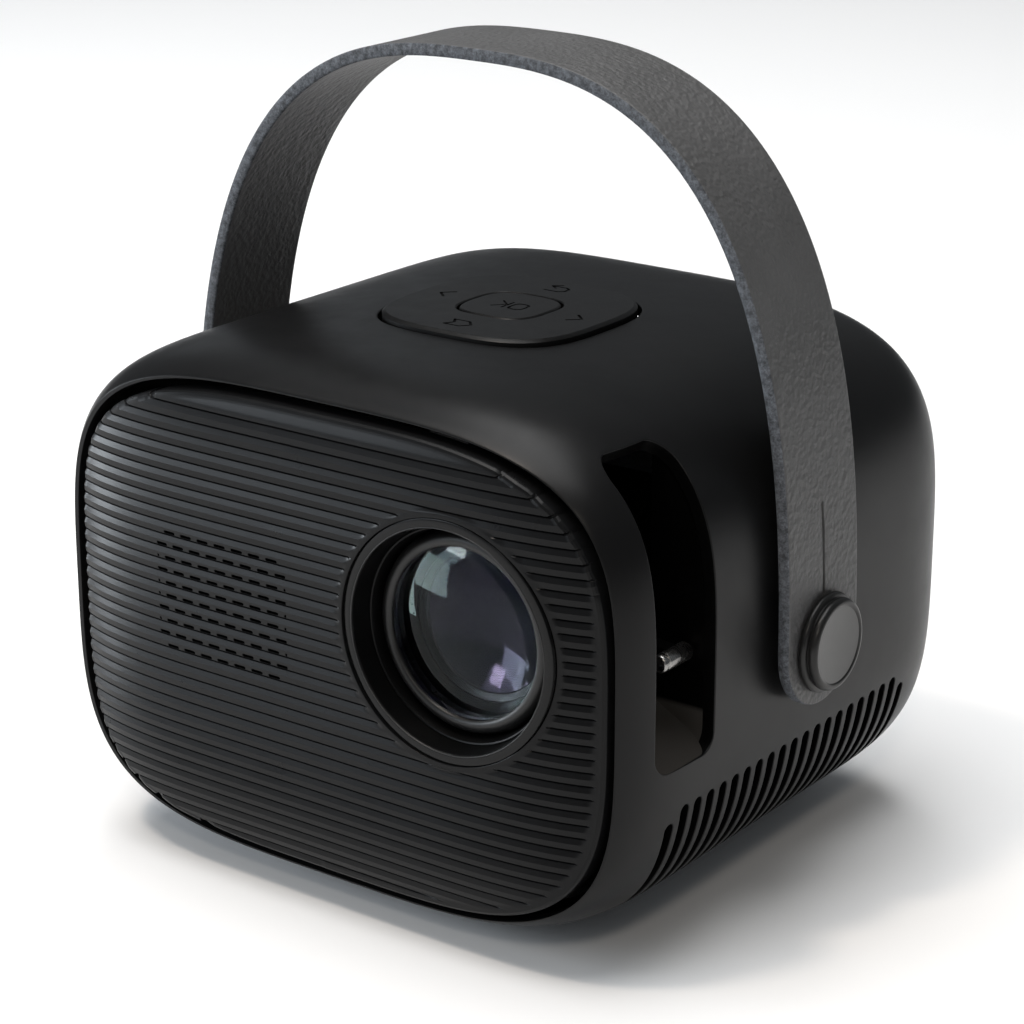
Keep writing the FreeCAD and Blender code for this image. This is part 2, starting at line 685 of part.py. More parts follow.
# ---------------------------------------------------------------- top controls
def make_key_tray():
    plate = box(-29, 29, -29, 29, 96.8, 98.4)
    posts = [rod_z(98.4, 106, sx * 26.5, sy * 26.5, 2.2) for sx in (-1, 1) for sy in (-1, 1)]
    ears = [box(sx * 15.3 - 1.3, sx * 15.3 + 1.3, -2, 2, 98.4, 103.5) for sx in (-1, 1)]
    tray = join([plate] + posts + ears)
    tray = tray.cut(rod_x(-20, 20, 0, ROCKER_Z, 0.8 + 0.05))
    return tray.common(body_solid(WALL, 60.6))


def make_key_board():
    board = box(-24, 24, -24, 24, 98.4, 99.6)
    return board.cut([box(sx * 15.3 - 1.5, sx * 15.3 + 1.5, -2.2, 2.2, 98, 100) for sx in (-1, 1)])


def switch_places():
    return [(0, 0), (19.2, 0), (-19.2, 0), (0, 19.2), (0, -19.2)]


def make_key_switches():
    return group([rod_z(99.6, 100.5, x, y, 2.0) for x, y in switch_places()])


def make_rocker_ring():
    ring = box(-13, 13, -13, 13, 101.6, 103.2).cut(box(-10.8, 10.8, -10.8, 10.8, 100, 105))
    pins = [rod_x(-16.4, 16.4, 0, ROCKER_Z, 0.8), rod_y(-16.4, 16.4, 0, ROCKER_Z, 0.8)]
    middle = box(-11.5, 11.5, -11.5, 11.5, 100, 105)
    return join([ring] + [pin.cut(middle) for pin in pins])


def chevron(x, y, turn):
    arms = []
    for lean in (-45, 45):
        arm = box(-2.6, 0.3, -0.28, 0.28, PAD_TOP_Z - 0.25, PAD_TOP_Z + 1)
        arm.rotate(vec(0, 0, 0), vec(0, 0, 1), lean)
        arms.append(arm)
    mark = join(arms)
    mark.translate(vec(1.0, 0, 0))
    mark.rotate(vec(0, 0, 0), vec(0, 0, 1), turn)
    mark.translate(vec(x, y, 0))
    return mark


def menu_mark(x, y):
    bars = []
    for index in (-1, 0, 1):
        height = y + 1.3 * index
        bars.append(box(x - 2.0, x + 2.0, height - 0.25, height + 0.25, PAD_TOP_Z - 0.25, PAD_TOP_Z + 1))
    return group(bars)


def back_mark(x, y):
    arc = tube_z(PAD_TOP_Z - 0.25, PAD_TOP_Z + 1, x, y, 1.7, 1.15)
    arc = arc.cut(box(x, x + 4, y - 4, y + 4, 100, 110))
    bars = []
    for side in (-1, 1):
        bars.append(box(x - 0.1, x + 1.8, y + side * 1.42 - 0.28, y + side * 1.42 + 0.28, PAD_TOP_Z - 0.25, PAD_TOP_Z + 1))
    return join([arc] + bars)


def make_nav_pad():
    pad = squircle_z(PAD_HALF, PAD_EXPONENT, 104.6, PAD_TOP_Z)
    rims = [edge for edge in pad.Edges if edge.BoundBox.ZMin > PAD_TOP_Z - 0.01]
    pad = pad.makeChamfer(0.7, rims)
    lugs = [box(-2, 2, sy * 15.3 - 1.3, sy * 15.3 + 1.3, 101.0, 104.7) for sy in (-1, 1)]
    plungers = [rod_z(101.2, 104.7, x, y, 1.1) for x, y in switch_places()[1:]]
    pad = join([pad] + lugs + plungers)
    pad = pad.cut(rod_y(-20, 20, 0, ROCKER_Z, 0.8 + 0.05))
    pad = pad.cut(squircle_z(OK_HALF + 0.45, PAD_EXPONENT, 100, 112))
    return pad.cut([chevron(16.2, 0, 0), chevron(-16.2, 0, 180), menu_mark(0, -16), back_mark(0, 16)])


def make_ok_button():
    cap = squircle_z(OK_HALF, PAD_EXPONENT, 103.7, PAD_TOP_Z + 0.15)
    rims = [edge for edge in cap.Edges if edge.BoundBox.ZMin > PAD_TOP_Z + 0.1]
    cap = cap.makeChamfer(0.35, rims)
    stem = rod_z(101.2, 103.8, 0, 0, 2.0)
    top = PAD_TOP_Z - 0.1
    ring = tube_z(top, top + 2, 2.1, 0, 1.75, 1.25)
    bar = box(-0.95, -0.45, -1.75, 1.75, top, top + 2)
    arms = []
    for lean in (-1, 1):
        arm = box(-3.0, 0, -0.25, 0.25, top, top + 2)
        arm.rotate(vec(0, 0, 0), vec(0, 0, 1), lean * 42)
        arm.translate(vec(-0.6, 0, 0))
        arms.append(arm.common(box(-3, 0, -1.75, 1.75, top, top + 2)))
    return join([cap, stem]).cut([ring, bar] + arms)


# ---------------------------------------------------------------- carrying strap and knobs
def strap_point(angle, offset):
    spread = STRAP_EXPONENT
    cx = math.cos(angle)
    sx = math.sin(angle)
    radius = (abs(cx / STRAP_INNER_X) ** spread + abs(sx / STRAP_RISE) ** spread) ** (-1 / spread)
    x = radius * cx
    z = radius * sx
    nx = signed_power(x / STRAP_INNER_X, spread - 1) / STRAP_INNER_X
    nz = signed_power(z / STRAP_RISE, spread - 1) / STRAP_RISE
    size = math.hypot(nx, nz)
    return vec(x + offset * nx / size, -STRAP_WIDTH / 2, STRAP_SPRING_Z + z + offset * nz / size)


def strap_curve(offset):
    points = [strap_point(math.pi * step / 60, offset) for step in range(61)]
    curve = Part.BSplineCurve()
    curve.interpolate(points)
    return curve.toShape(), points[0], points[-1]


def make_strap():
    inner, inner_right, inner_left = strap_curve(0)
    outer, outer_right, outer_left = strap_curve(STRAP_THICKNESS)
    ends = [Part.makeLine(inner_right, outer_right), Part.makeLine(outer_left, inner_left)]
    wire = Part.Wire(Part.__sortEdges__([inner, outer] + ends))
    arch = Part.Face(wire).extrude(vec(0, STRAP_WIDTH, 0))
    tabs = []
    for side in (-1, 1):
        x0 = min(side * STRAP_INNER_X, side * (STRAP_INNER_X + STRAP_THICKNESS))
        tabs.append(box(x0, x0 + STRAP_THICKNESS, -STRAP_WIDTH / 2, STRAP_WIDTH / 2, 38, STRAP_SPRING_Z))
    band = join([arch] + tabs)
    half = STRAP_WIDTH / 2
    end_round = rod_x(-90, 90, 0, KNOB_Z, half).fuse(box(-90, 90, -half, half, KNOB_Z, 200))
    band = band.common(end_round)
    for side in (-1, 1):
        x0 = min(side * 60, side * 80)
        hole = rod_x(x0, x0 + 20, 0, KNOB_Z, POST_RADIUS + RUNNING_FIT)
        slit = box(x0, x0 + 20, -0.45, 0.45, KNOB_Z, 82.8)
        slit_end = rod_x(x0, x0 + 20, 0, 82.8, 0.45)
        band = band.cut([hole, slit, slit_end])
    return band


def make_strap_posts():
    posts = []
    for side in (-1, 1):
        stud = rod_x(63.5, 76.5, 0, KNOB_Z, POST_RADIUS)
        washer = rod_x(BODY_HALF_WIDTH + 0.03, 70.85, 0, KNOB_Z, 7.5)
        nut = rod_x(63.5, BODY_HALF_WIDTH - WALL, 0, KNOB_Z, 6.0)
        post = join([stud, washer, nut])
        if side < 0:
            post = post.mirror(vec(0, 0, 0), vec(1, 0, 0))
        posts.append(post)
    return group(posts)


def make_knobs():
    knobs = []
    for side in (-1, 1):
        lower = rod_x(73.85, 76.2, 0, KNOB_Z, KNOB_RADIUS)
        lower = lower.makeFillet(0.7, [edge for edge in lower.Edges if edge.BoundBox.XLength < 0.01])
        upper = rod_x(75.4, KNOB_OUTER_X, 0, KNOB_Z, KNOB_RADIUS - 0.75)
        rims = [edge for edge in upper.Edges if edge.BoundBox.XMin > KNOB_OUTER_X - 0.01]
        upper = upper.makeFillet(1.0, rims)
        dish_radius = 46.0
        dish = Part.makeSphere(dish_radius, vec(KNOB_OUTER_X - 0.65 + dish_radius, 0, KNOB_Z))
        knob = join([lower, upper]).cut([dish, rod_x(70, 76.5, 0, KNOB_Z, POST_RADIUS)])
        if side < 0:
            knob = knob.mirror(vec(0, 0, 0), vec(1, 0, 0))
        knobs.append(knob)
    return group(knobs)


# ---------------------------------------------------------------- write every node
def main():
    save("main_shell", make_shell())
    save("vent_screens", make_vent_screens())
    save("front_panel", make_front_panel())
    save("lens_bezel", make_lens_bezel())
    save("rear_panel", make_rear_panel())
    save("focus_window_liner", make_window_liner())
    save("focus_ring", make_focus_ring())
    save("focus_arm", make_focus_arm())
    save("focus_pin", make_focus_pin())
    save("lens_guide", make_lens_guide())
    save("guide_clip", make_guide_clip())
    save("lens_barrel", make_lens_barrel())
    save("lens_retainer", make_lens_retainer())
    save("front_element", lens_disc(16.68, -55.6, -50.0, 1.7, -1.4))
    save("middle_element", lens_disc(14.38, -48.0, -44.0, 0.9, 0.9))
    save("rear_element", lens_disc(12.18, -32.0, -27.0, 1.2, 1.6))
    save("engine_case", make_engine_case())
    save("plate_frame", make_plate_frame())
    save("front_fresnel", engine_plate(-8.0, -6.0, 19.5, 15))
    save("display_panel", engine_plate(2.0, 4.0, 19.5, 15))
    save("rear_fresnel", engine_plate(9.0, 11.0, 19.5, 15))
    save("heat_glass", engine_plate(15.0, 17.0, 19.5, 15))
    save("light_cone", make_light_cone())
    save("led_module", make_led_module())
    save("heat_sink", make_heat_sink())
    save("fan_frame", make_fan_frame())
    save("fan_rotor", make_fan_rotor())
    save("speaker_basket", make_speaker_basket())
    save("speaker_cone", make_speaker_cone())
    save("speaker_magnet", make_speaker_magnet())
    save("speaker_bracket", make_speaker_bracket())
    save("inner_tray", make_tray())
    save("base_plate", make_base_plate())
    save("base_screws", make_base_screws())
    save("tripod_insert", make_tripod_insert())
    save("rubber_feet", make_feet())
    save("main_board", make_main_board())
    save("board_chips", make_board_chips())
    save("dc_inlet", make_dc_inlet())
    save("dc_pin", make_dc_pin())
    save("hdmi_socket", make_hdmi_socket())
    save("usb_socket", make_usb_socket())
    save("audio_socket", make_audio_socket())
    save("sensor_window", make_sensor_window())
    save("power_switch", make_power_switch())
    save("power_button", make_power_button())
    save("key_tray", make_key_tray())
    save("key_board", make_key_board())
    save("key_switches", make_key_switches())
    save("rocker_ring", make_rocker_ring())
    save("nav_pad", make_nav_pad())
    save("ok_button", make_ok_button())
    save("strap", make_strap())
    save("strap_posts", make_strap_posts())
    save("strap_knobs", make_knobs())


main()
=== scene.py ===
import json
import math

import bmesh
import bpy
import numpy as np
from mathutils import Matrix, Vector


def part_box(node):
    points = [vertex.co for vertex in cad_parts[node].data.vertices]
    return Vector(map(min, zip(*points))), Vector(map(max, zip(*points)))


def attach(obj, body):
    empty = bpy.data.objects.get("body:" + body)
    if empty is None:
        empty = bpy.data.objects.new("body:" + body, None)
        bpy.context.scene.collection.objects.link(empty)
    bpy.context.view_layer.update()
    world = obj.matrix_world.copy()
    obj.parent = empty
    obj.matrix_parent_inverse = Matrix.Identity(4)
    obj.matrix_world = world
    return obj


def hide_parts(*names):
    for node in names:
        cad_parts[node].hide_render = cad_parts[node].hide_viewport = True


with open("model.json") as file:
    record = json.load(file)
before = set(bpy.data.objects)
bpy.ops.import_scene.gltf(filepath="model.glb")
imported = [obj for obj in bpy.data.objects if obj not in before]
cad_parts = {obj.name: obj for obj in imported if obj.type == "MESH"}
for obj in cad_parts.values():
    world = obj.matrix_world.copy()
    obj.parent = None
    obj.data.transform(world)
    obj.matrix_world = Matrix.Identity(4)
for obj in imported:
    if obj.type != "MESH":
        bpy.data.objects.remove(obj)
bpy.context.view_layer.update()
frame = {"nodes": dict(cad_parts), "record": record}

# ---------------- driving sizes, millimetres
MM = 0.001
RIM_LEVELS = 6

# body shell, its side window and its vents
BODY_HALF = (69.6, 65.0, 52.2)
BODY_CENTRE_Z = 54.7
SECTION = 3.76
PLAN = 7.8
SIDE = 7.3
LIP_Y = 58.6
LIP_ROUND = 0.3
BASE_HALF = (30.0, 32.0)
WINDOW_CENTRE = (-40.1, 70.7)
WINDOW_HALF = (8.9, 28.8)
WINDOW_CORNER = 3.8
WINDOW_ROUND = 0.22
VENTS = 21
VENT_PITCH = 4.22
VENT_FIRST_Y = -43.3
VENT_TOP_Z = 33.5
VENT_END_DROP = 2.6
VENT_INNER_X = 52.0
VENT_HALF = 1.25
VENT_ROUND = 0.18

# front and rear panels, the pocket round them, ribs and speaker slots
POCKET_X = 0.9
POCKET_HALF = (64.4, 47.5)
POCKET_DEPTH = 3.4
PANEL_X = 1.15
PANEL_HALF = (63.45, 45.9)
PANEL_FACE_Y = 63.7
PANEL_ROUND = 1.3
PANEL_DROP = 13.2
PANEL_DROP_HALF = (75.0, 58.8)
PANEL_DROP_EXPONENT = 5.29
RIB_PITCH = 2.594
RIB_DATUM_Z = 68.07
RIB_PHASES = (0, 1 / 13, 7 / 13, 12 / 13, 1)
RIB_FALLS = (0.75, 0.2, 0.0, 0.37, 0.75)
RIB_SIDE_Z = (70, 92)
RIB_TOP_Z = (96.3, 98.4)
RIB_LENS_GAP = (0.7, 1.6)
SPEAKER = (-21.4, 59.54)
SPEAKER_ROWS = 10
SPEAKER_PITCH = 4.33
SPEAKER_HALF = 16.4
DASH_HALF = (1.45, 0.34)

# rear panel: round ports have a place and a radius; sockets a place, two half sizes and a corner radius
REAR_SLOTS = 20
REAR_SLOT_PITCH = 2.73
REAR_SLOT_FIRST_Z = 38.75
REAR_SLOT_X = 28.5
REAR_SLOT_HALF = (23.5, 0.75)
REAR_ROUND = 0.15
PORT_Z = 24.0
ROUND_PORTS = {"power": (-43.0, 5.3), "inlet": (-27.0, 4.3), "audio": (29.0, 3.6), "sensor": (43.0, 4.5)}
SOCKETS = {"hdmi": (-6.0, 8.2, 3.4, 0.6), "usb": (14.0, 7.4, 3.7, 0.5)}

# lens
LENS = (32.0, 64.0)
BEZEL_RADIUS = 23.5
BEZEL_BEND = 0.5
FUNNEL_START = 0.9
FUNNEL_END_Y = -58.7
LENS_SEGMENTS = 256
GLASS_SEGMENTS = 192

# carrying strap and its knobs
STRAP_HALF_WIDTH = 12.5
STRAP_THICKNESS = 2.5
STRAP_ROUND = 0.5
STRAP_INNER_X = 71.2
STRAP_SPRING_Z = 43.6
STRAP_RISE = 114.7
STRAP_EXPONENT = 2.75
STRAP_HOLE = 3.4
SLIT_HALF_LENGTH = 13.5
SLIT_HALF_WIDTH = 0.5
KNOB_RUN = 14.0
KNOB_Z = 54.3
KNOB_BASE_X = 73.85
KNOB_FACE_RADIUS = 7.5
KNOB_FACE_HEIGHT = 3.24
KNOB_DISH = 0.3

# top controls
PAD_HALF = 22.4
PAD_TOP_Z = 108.1
PAD_EXPONENT = 3.2
PAD_WELL = 23.3
PAD_CHAMFER = 0.75
PAD_INNER_EDGE = 0.75
OK_HALF = 8.9
OK_CHAMFER = 0.35


# ---------------- shapes as signed distances
def power_length(a, b, exponent):
    return (np.abs(a) ** exponent + np.abs(b) ** exponent) ** (1 / exponent)


def round_box(a, b, half_a, half_b, radius):
    """Distance outside a rectangle with rounded corners."""
    qa = np.abs(a) - half_a + radius
    qb = np.abs(b) - half_b + radius
    outside = np.hypot(np.maximum(qa, 0), np.maximum(qb, 0))
    return outside + np.minimum(np.maximum(qa, qb), 0) - radius


def stroke(a, b, start, end):
    """Distance from a straight stroke's centre line."""
    da = end[0] - start[0]
    db = end[1] - start[1]
    along = ((a - start[0]) * da + (b - start[1]) * db) / (da * da + db * db)
    along = np.clip(along, 0, 1)
    return np.hypot(a - start[0] - along * da, b - start[1] - along * db)


def path_distance(a, b, points):
    return np.minimum.reduce([stroke(a, b, points[i], points[i + 1]) for i in range(len(points) - 1)])


def grid_lines(*runs):
    """Ascending grid values from (start, end, step) runs."""
    values = []
    for start, end, step in runs:
        values.append(np.linspace(start, end, max(2, int(round((end - start) / step)) + 1)))
    return np.unique(np.round(np.concatenate(values), 5))


# ---------------- clipped surface patches
def surface_frame(place, u, v, flip):
    """Points, outward normals and the two tangents of a surface."""
    step = 1e-3
    points = place(u, v)
    along_u = (place(u + step, v) - place(u - step, v)) / (2 * step)
    along_v = (place(u, v + step) - place(u, v - step)) / (2 * step)
    normals = np.cross(along_u, along_v)
    normals /= np.linalg.norm(normals, axis=-1, keepdims=True) * (-1 if flip else 1)
    return points, normals, along_u, along_v


def rim_directions(keep, u, v, along_u, along_v):
    """Unit tangents that leave the kept area across its edge."""
    step = 2e-3
    slope_u = (keep(u + step, v).min(0) - keep(u - step, v).min(0)) / (2 * step)
    slope_v = (keep(u, v + step).min(0) - keep(u, v - step).min(0)) / (2 * step)
    uu = (along_u * along_u).sum(-1)
    uv = (along_u * along_v).sum(-1)
    vv = (along_v * along_v).sum(-1)
    det = uu * vv - uv * uv
    part_u = (vv * slope_u - uv * slope_v) / det
    part_v = (uu * slope_v - uv * slope_u) / det
    slope = along_u * part_u[:, None] + along_v * part_v[:, None]
    return -slope / np.maximum(np.linalg.norm(slope, axis=1, keepdims=True), 1e-9)


def cut_edge(keep, u0, v0, u1, v1):
    """Where the kept area ends between pairs of grid points, by bisection."""
    low = np.zeros(len(u0))
    high = np.ones(len(u0))
    for _ in range(12):
        middle = (low + high) / 2
        inside = keep(u0 + (u1 - u0) * middle, v0 + (v1 - v0) * middle).min(0) > 0
        low = np.where(inside, middle, low)
        high = np.where(inside, high, middle)
    return u0 + (u1 - u0) * low, v0 + (v1 - v0) * low


def cut_points(keep, grid_u, grid_v, inside, wrap):
    """Where the kept area's edge crosses the grid, and each crossing's vertex number by its grid edge."""
    cut_u, cut_v, cut_ids = [], [], {}
    count = int(inside.sum())
    for axis in (0, 1):
        ahead_u = np.roll(grid_u, -1, axis)
        ahead_v = np.roll(grid_v, -1, axis)
        crossing = inside != np.roll(inside, -1, axis)
        if axis == 1:
            crossing[:, -1] = False
        elif wrap:
            ahead_u[-1] += 2 * math.pi
        else:
            crossing[-1] = False
        i, j = np.nonzero(crossing)
        first = inside[i, j]
        u0 = np.where(first, grid_u[i, j], ahead_u[i, j])
        v0 = np.where(first, grid_v[i, j], ahead_v[i, j])
        u1 = np.where(first, ahead_u[i, j], grid_u[i, j])
        v1 = np.where(first, ahead_v[i, j], grid_v[i, j])
        at_u, at_v = cut_edge(keep, u0, v0, u1, v1)
        for k in range(len(i)):
            cut_ids[(axis, int(i[k]), int(j[k]))] = count + k
        count += len(i)
        cut_u.append(at_u)
        cut_v.append(at_v)
    return np.concatenate(cut_u), np.concatenate(cut_v), cut_ids


def clipped_faces(ids, cut_ids, wrap):
    """Whole grid squares, the kept parts of cut ones, and the face edges that run along the cut."""
    count = len(ids)
    following = np.arange(1, count + 1) % count
    last = count if wrap else count - 1
    ahead = ids[following]
    corner = [ids[:last, :-1], ahead[:last, :-1], ahead[:last, 1:], ids[:last, 1:]]
    whole = np.logical_and.reduce([number >= 0 for number in corner])
    some = np.logical_or.reduce([number >= 0 for number in corner]) & ~whole
    faces = np.stack([number[whole] for number in corner], 1).tolist()
    segments = []
    for i, j in zip(*np.nonzero(some)):
        i, j = int(i), int(j)
        k = int(following[i])
        corners = [(i, j), (k, j), (k, j + 1), (i, j + 1)]
        edges = [(0, i, j), (1, k, j), (0, i, j + 1), (1, i, j)]
        loop = []
        for place, edge in zip(corners, edges):
            if ids[place] >= 0:
                loop.append((int(ids[place]), False))
            if edge in cut_ids:
                loop.append((cut_ids[edge], True))
        if len(loop) < 3:
            continue
        faces.append([number for number, _ in loop])
        for here, ahead in zip(loop, loop[1:] + loop[:1]):
            if here[1] and ahead[1]:
                segments.append((here[0], ahead[0]))
    return faces, segments


def rim_rings(points, normals, out, kinds, rims):
    """The cut edge's points carried along their rims, one array for each level."""
    rings = []
    for level in range(RIM_LEVELS):
        ring = points.copy()
        for kind, (steps, _) in enumerate(rims):
            mine = kinds == kind
            if callable(steps):
                ring[mine] = steps(points[mine], out[mine], level)
            else:
                ring[mine] += out[mine] * steps[level][0] - normals[mine] * steps[level][1]
        rings.append(ring)
    return rings


def patch(name, us, vs, place, keep, rims, flip=False, wrap=False, thickness=None, sharp=40):
    """A mesh of place(u, v) where every keep distance is positive.
    Each cut edge is carried along its rim: (step out, step in) pairs or a function giving the points,
    then a material index and the first level that has it.
    With a thickness, the same sheet closes it behind."""
    grid_u, grid_v = np.meshgrid(us, vs, indexing="ij")
    inside = keep(grid_u, grid_v).min(0) > 0
    inner = int(inside.sum())
    ids = -np.ones(inside.shape, int)
    ids[inside] = np.arange(inner)
    cut_u, cut_v, cut_ids = cut_points(keep, grid_u, grid_v, inside, wrap)
    all_u = np.concatenate([grid_u[inside], cut_u])
    all_v = np.concatenate([grid_v[inside], cut_v])
    points, normals, along_u, along_v = surface_frame(place, all_u, all_v, flip)
    sheet, segments = clipped_faces(ids, cut_ids, wrap)
    kinds = keep(cut_u, cut_v).argmin(0)
    out = rim_directions(keep, cut_u, cut_v, along_u[inner:], along_v[inner:])
    vertices = [points] + rim_rings(points[inner:], normals[inner:], out, kinds, rims)
    faces = list(sheet)
    materials = [0] * len(sheet)
    size = len(cut_u)
    for level in range(RIM_LEVELS):
        near, far = level * size, (level + 1) * size
        for a, b in segments:
            faces.append([b + near, a + near, a + far, b + far])
            shade, first = rims[int(kinds[a - inner])][1]
            materials.append(shade if level >= first else 0)
    if thickness is not None:
        vertices.append(points[:inner] - normals[:inner] * thickness)
        rim_end = RIM_LEVELS * size
        for face in sheet:
            behind = [index + rim_end + (len(points) if index < inner else 0) for index in face]
            faces.append(behind[::-1])
            materials.append(2)
    if flip:
        faces = [face[::-1] for face in faces]
    return solid(name, np.concatenate(vertices), faces, materials, sharp)


def solid(name, vertices, faces, materials=None, sharp=40):
    """A mesh object from points in millimetres."""
    mesh = bpy.data.meshes.new(name)
    mesh.from_pydata((np.asarray(vertices) * MM).tolist(), [], faces)
    if materials:
        mesh.polygons.foreach_set("material_index", materials)
    tidy = bmesh.new()
    tidy.from_mesh(mesh)
    bmesh.ops.dissolve_degenerate(tidy, dist=1e-7, edges=tidy.edges)
    tidy.to_mesh(mesh)
    tidy.free()
    mesh.polygons.foreach_set("use_smooth", [True] * len(mesh.polygons))
    mesh.set_sharp_from_angle(angle=math.radians(sharp))
    mesh.update()
    thing = bpy.data.objects.new(name, mesh)
    bpy.context.scene.collection.objects.link(thing)
    return thing


def lathe(name, profile, centre, axis, count=160, shape=None, sharp=35):
    """A turned piece: (radius, distance along axis) points about an X or Y axis through centre."""
    radii = np.array([point[0] for point in profile])
    along = np.array([point[1] for point in profile])
    angle = np.arange(count) * 2 * math.pi / count
    turned = axis == "Y"
    across = centre[0 if turned else 1] + radii * np.cos(angle)[:, None]
    z = centre[2] + radii * np.sin(angle)[:, None]
    along = np.broadcast_to(centre[1 if turned else 0] + along, z.shape)
    points = np.stack([across, along, z] if turned else [along, across, z], -1)
    if shape is not None:
        points = shape(points)
    size = len(profile)
    faces = []
    for i in range(count):
        k = (i + 1) % count
        for j in range(size - 1):
            faces.append([i * size + j, k * size + j, k * size + j + 1, i * size + j + 1])
    thing = solid(name, points.reshape(-1, 3), faces, sharp=sharp)
    weld(thing)
    return thing


def weld(thing):
    """Joins points that fall together, and turns every face outward."""
    tidy = bmesh.new()
    tidy.from_mesh(thing.data)
    bmesh.ops.remove_doubles(tidy, verts=tidy.verts, dist=2e-7)
    bmesh.ops.recalc_face_normals(tidy, faces=tidy.faces)
    tidy.to_mesh(thing.data)
    tidy.free()


# ---------------- procedural materials
def new_material(name):
    material = bpy.data.materials.new(name)
    material.use_nodes = True
    tree = material.node_tree
    shader = tree.nodes["Principled BSDF"]
    where = tree.nodes.new("ShaderNodeTexCoord")
    return material, tree, shader, where.outputs["Object"]


def noise(tree, place, scale, detail=4.0, roughness=0.55):
    node = tree.nodes.new("ShaderNodeTexNoise")
    node.inputs["Scale"].default_value = scale
    node.inputs["Detail"].default_value = detail
    node.inputs["Roughness"].default_value = roughness
    tree.links.new(place, node.inputs["Vector"])
    return node.outputs["Fac"]


def spread(tree, value, low, high):
    node = tree.nodes.new("ShaderNodeMapRange")
    node.inputs["From Min"].default_value = 0.3
    node.inputs["From Max"].default_value = 0.7
    node.inputs["To Min"].default_value = low
    node.inputs["To Max"].default_value = high
    tree.links.new(value, node.inputs["Value"])
    return node.outputs["Result"]


def mixed(tree, factor, first, second):
    node = tree.nodes.new("ShaderNodeMix")
    node.data_type = "RGBA"
    node.inputs[6].default_value = (*first, 1)
    node.inputs[7].default_value = (*second, 1)
    tree.links.new(factor, node.inputs[0])
    return node.outputs[2]


def bumped(tree, shader, height, distance):
    node = tree.nodes.new("ShaderNodeBump")
    node.inputs["Distance"].default_value = distance
    tree.links.new(height, node.inputs["Height"])
    tree.links.new(node.outputs["Normal"], shader.inputs["Normal"])


def plastic(name, dark, light, roughness, grain=0.00002, grain_scale=5200, coat=0.0, specular=0.5):
    """Moulded plastic: fine spark texture, slow colour drift, rubbed patches in the gloss."""
    material, tree, shader, place = new_material(name)
    drift = noise(tree, place, 34, 5)
    tree.links.new(mixed(tree, spread(tree, drift, 0, 1), dark, light), shader.inputs["Base Color"])
    rub = noise(tree, place, 120, 6, 0.65)
    tree.links.new(spread(tree, rub, roughness * 0.9, roughness * 1.12), shader.inputs["Roughness"])
    shader.inputs["Coat Weight"].default_value = coat
    shader.inputs["Coat Roughness"].default_value = 0.12
    shader.inputs["Specular IOR Level"].default_value = specular
    bumped(tree, shader, noise(tree, place, grain_scale, 2), grain)
    return material


def metal(name, dark, light, roughness, streak=(1, 1, 1), scale=900):
    """Metal with drawn or cast streaks in its gloss."""
    material, tree, shader, place = new_material(name)
    stretch = tree.nodes.new("ShaderNodeMapping")
    stretch.inputs["Scale"].default_value = streak
    tree.links.new(place, stretch.inputs["Vector"])
    lines = noise(tree, stretch.outputs["Vector"], scale, 3)
    tree.links.new(mixed(tree, spread(tree, lines, 0, 1), dark, light), shader.inputs["Base Color"])
    tree.links.new(spread(tree, lines, roughness * 0.8, roughness * 1.25), shader.inputs["Roughness"])
    shader.inputs["Metallic"].default_value = 1.0
    bumped(tree, shader, lines, 0.000008)
    return material


def leather(name, dark, light, pebble, depth, roughness):
    """Pressed leather: irregular flat pebbles with soft valleys, pores, and handled colour."""
    material, tree, shader, place = new_material(name)
    warp = tree.nodes.new("ShaderNodeTexNoise")
    warp.inputs["Scale"].default_value = pebble * 0.7
    warp.inputs["Detail"].default_value = 3
    tree.links.new(place, warp.inputs["Vector"])
    bend = tree.nodes.new("ShaderNodeVectorMath")
    bend.operation = "MULTIPLY_ADD"
    bend.inputs[1].default_value = (0.0012, 0.0012, 0.0012)
    tree.links.new(warp.outputs["Color"], bend.inputs[0])
    tree.links.new(place, bend.inputs[2])
    cells = tree.nodes.new("ShaderNodeTexVoronoi")
    cells.feature = "SMOOTH_F1"
    cells.inputs["Scale"].default_value = pebble
    cells.inputs["Smoothness"].default_value = 0.55
    tree.links.new(bend.outputs[0], cells.inputs["Vector"])
    swell = noise(tree, place, pebble * 0.45, 4)
    pores = noise(tree, place, pebble * 5.5, 3)
    total = tree.nodes.new("ShaderNodeMath")
    total.operation = "MULTIPLY_ADD"
    total.inputs[1].default_value = 1.7
    tree.links.new(swell, total.inputs[0])
    tree.links.new(cells.outputs["Distance"], total.inputs[2])
    fine = tree.nodes.new("ShaderNodeMath")
    fine.operation = "MULTIPLY_ADD"
    fine.inputs[1].default_value = 0.22
    tree.links.new(pores, fine.inputs[0])
    tree.links.new(total.outputs[0], fine.inputs[2])
    tone = noise(tree, place, 60, 6, 0.6)
    tree.links.new(mixed(tree, spread(tree, tone, 0, 1), dark, light), shader.inputs["Base Color"])
    tree.links.new(spread(tree, tone, roughness * 0.92, roughness * 1.1), shader.inputs["Roughness"])
    bumped(tree, shader, fine.outputs[0], depth)
    return material


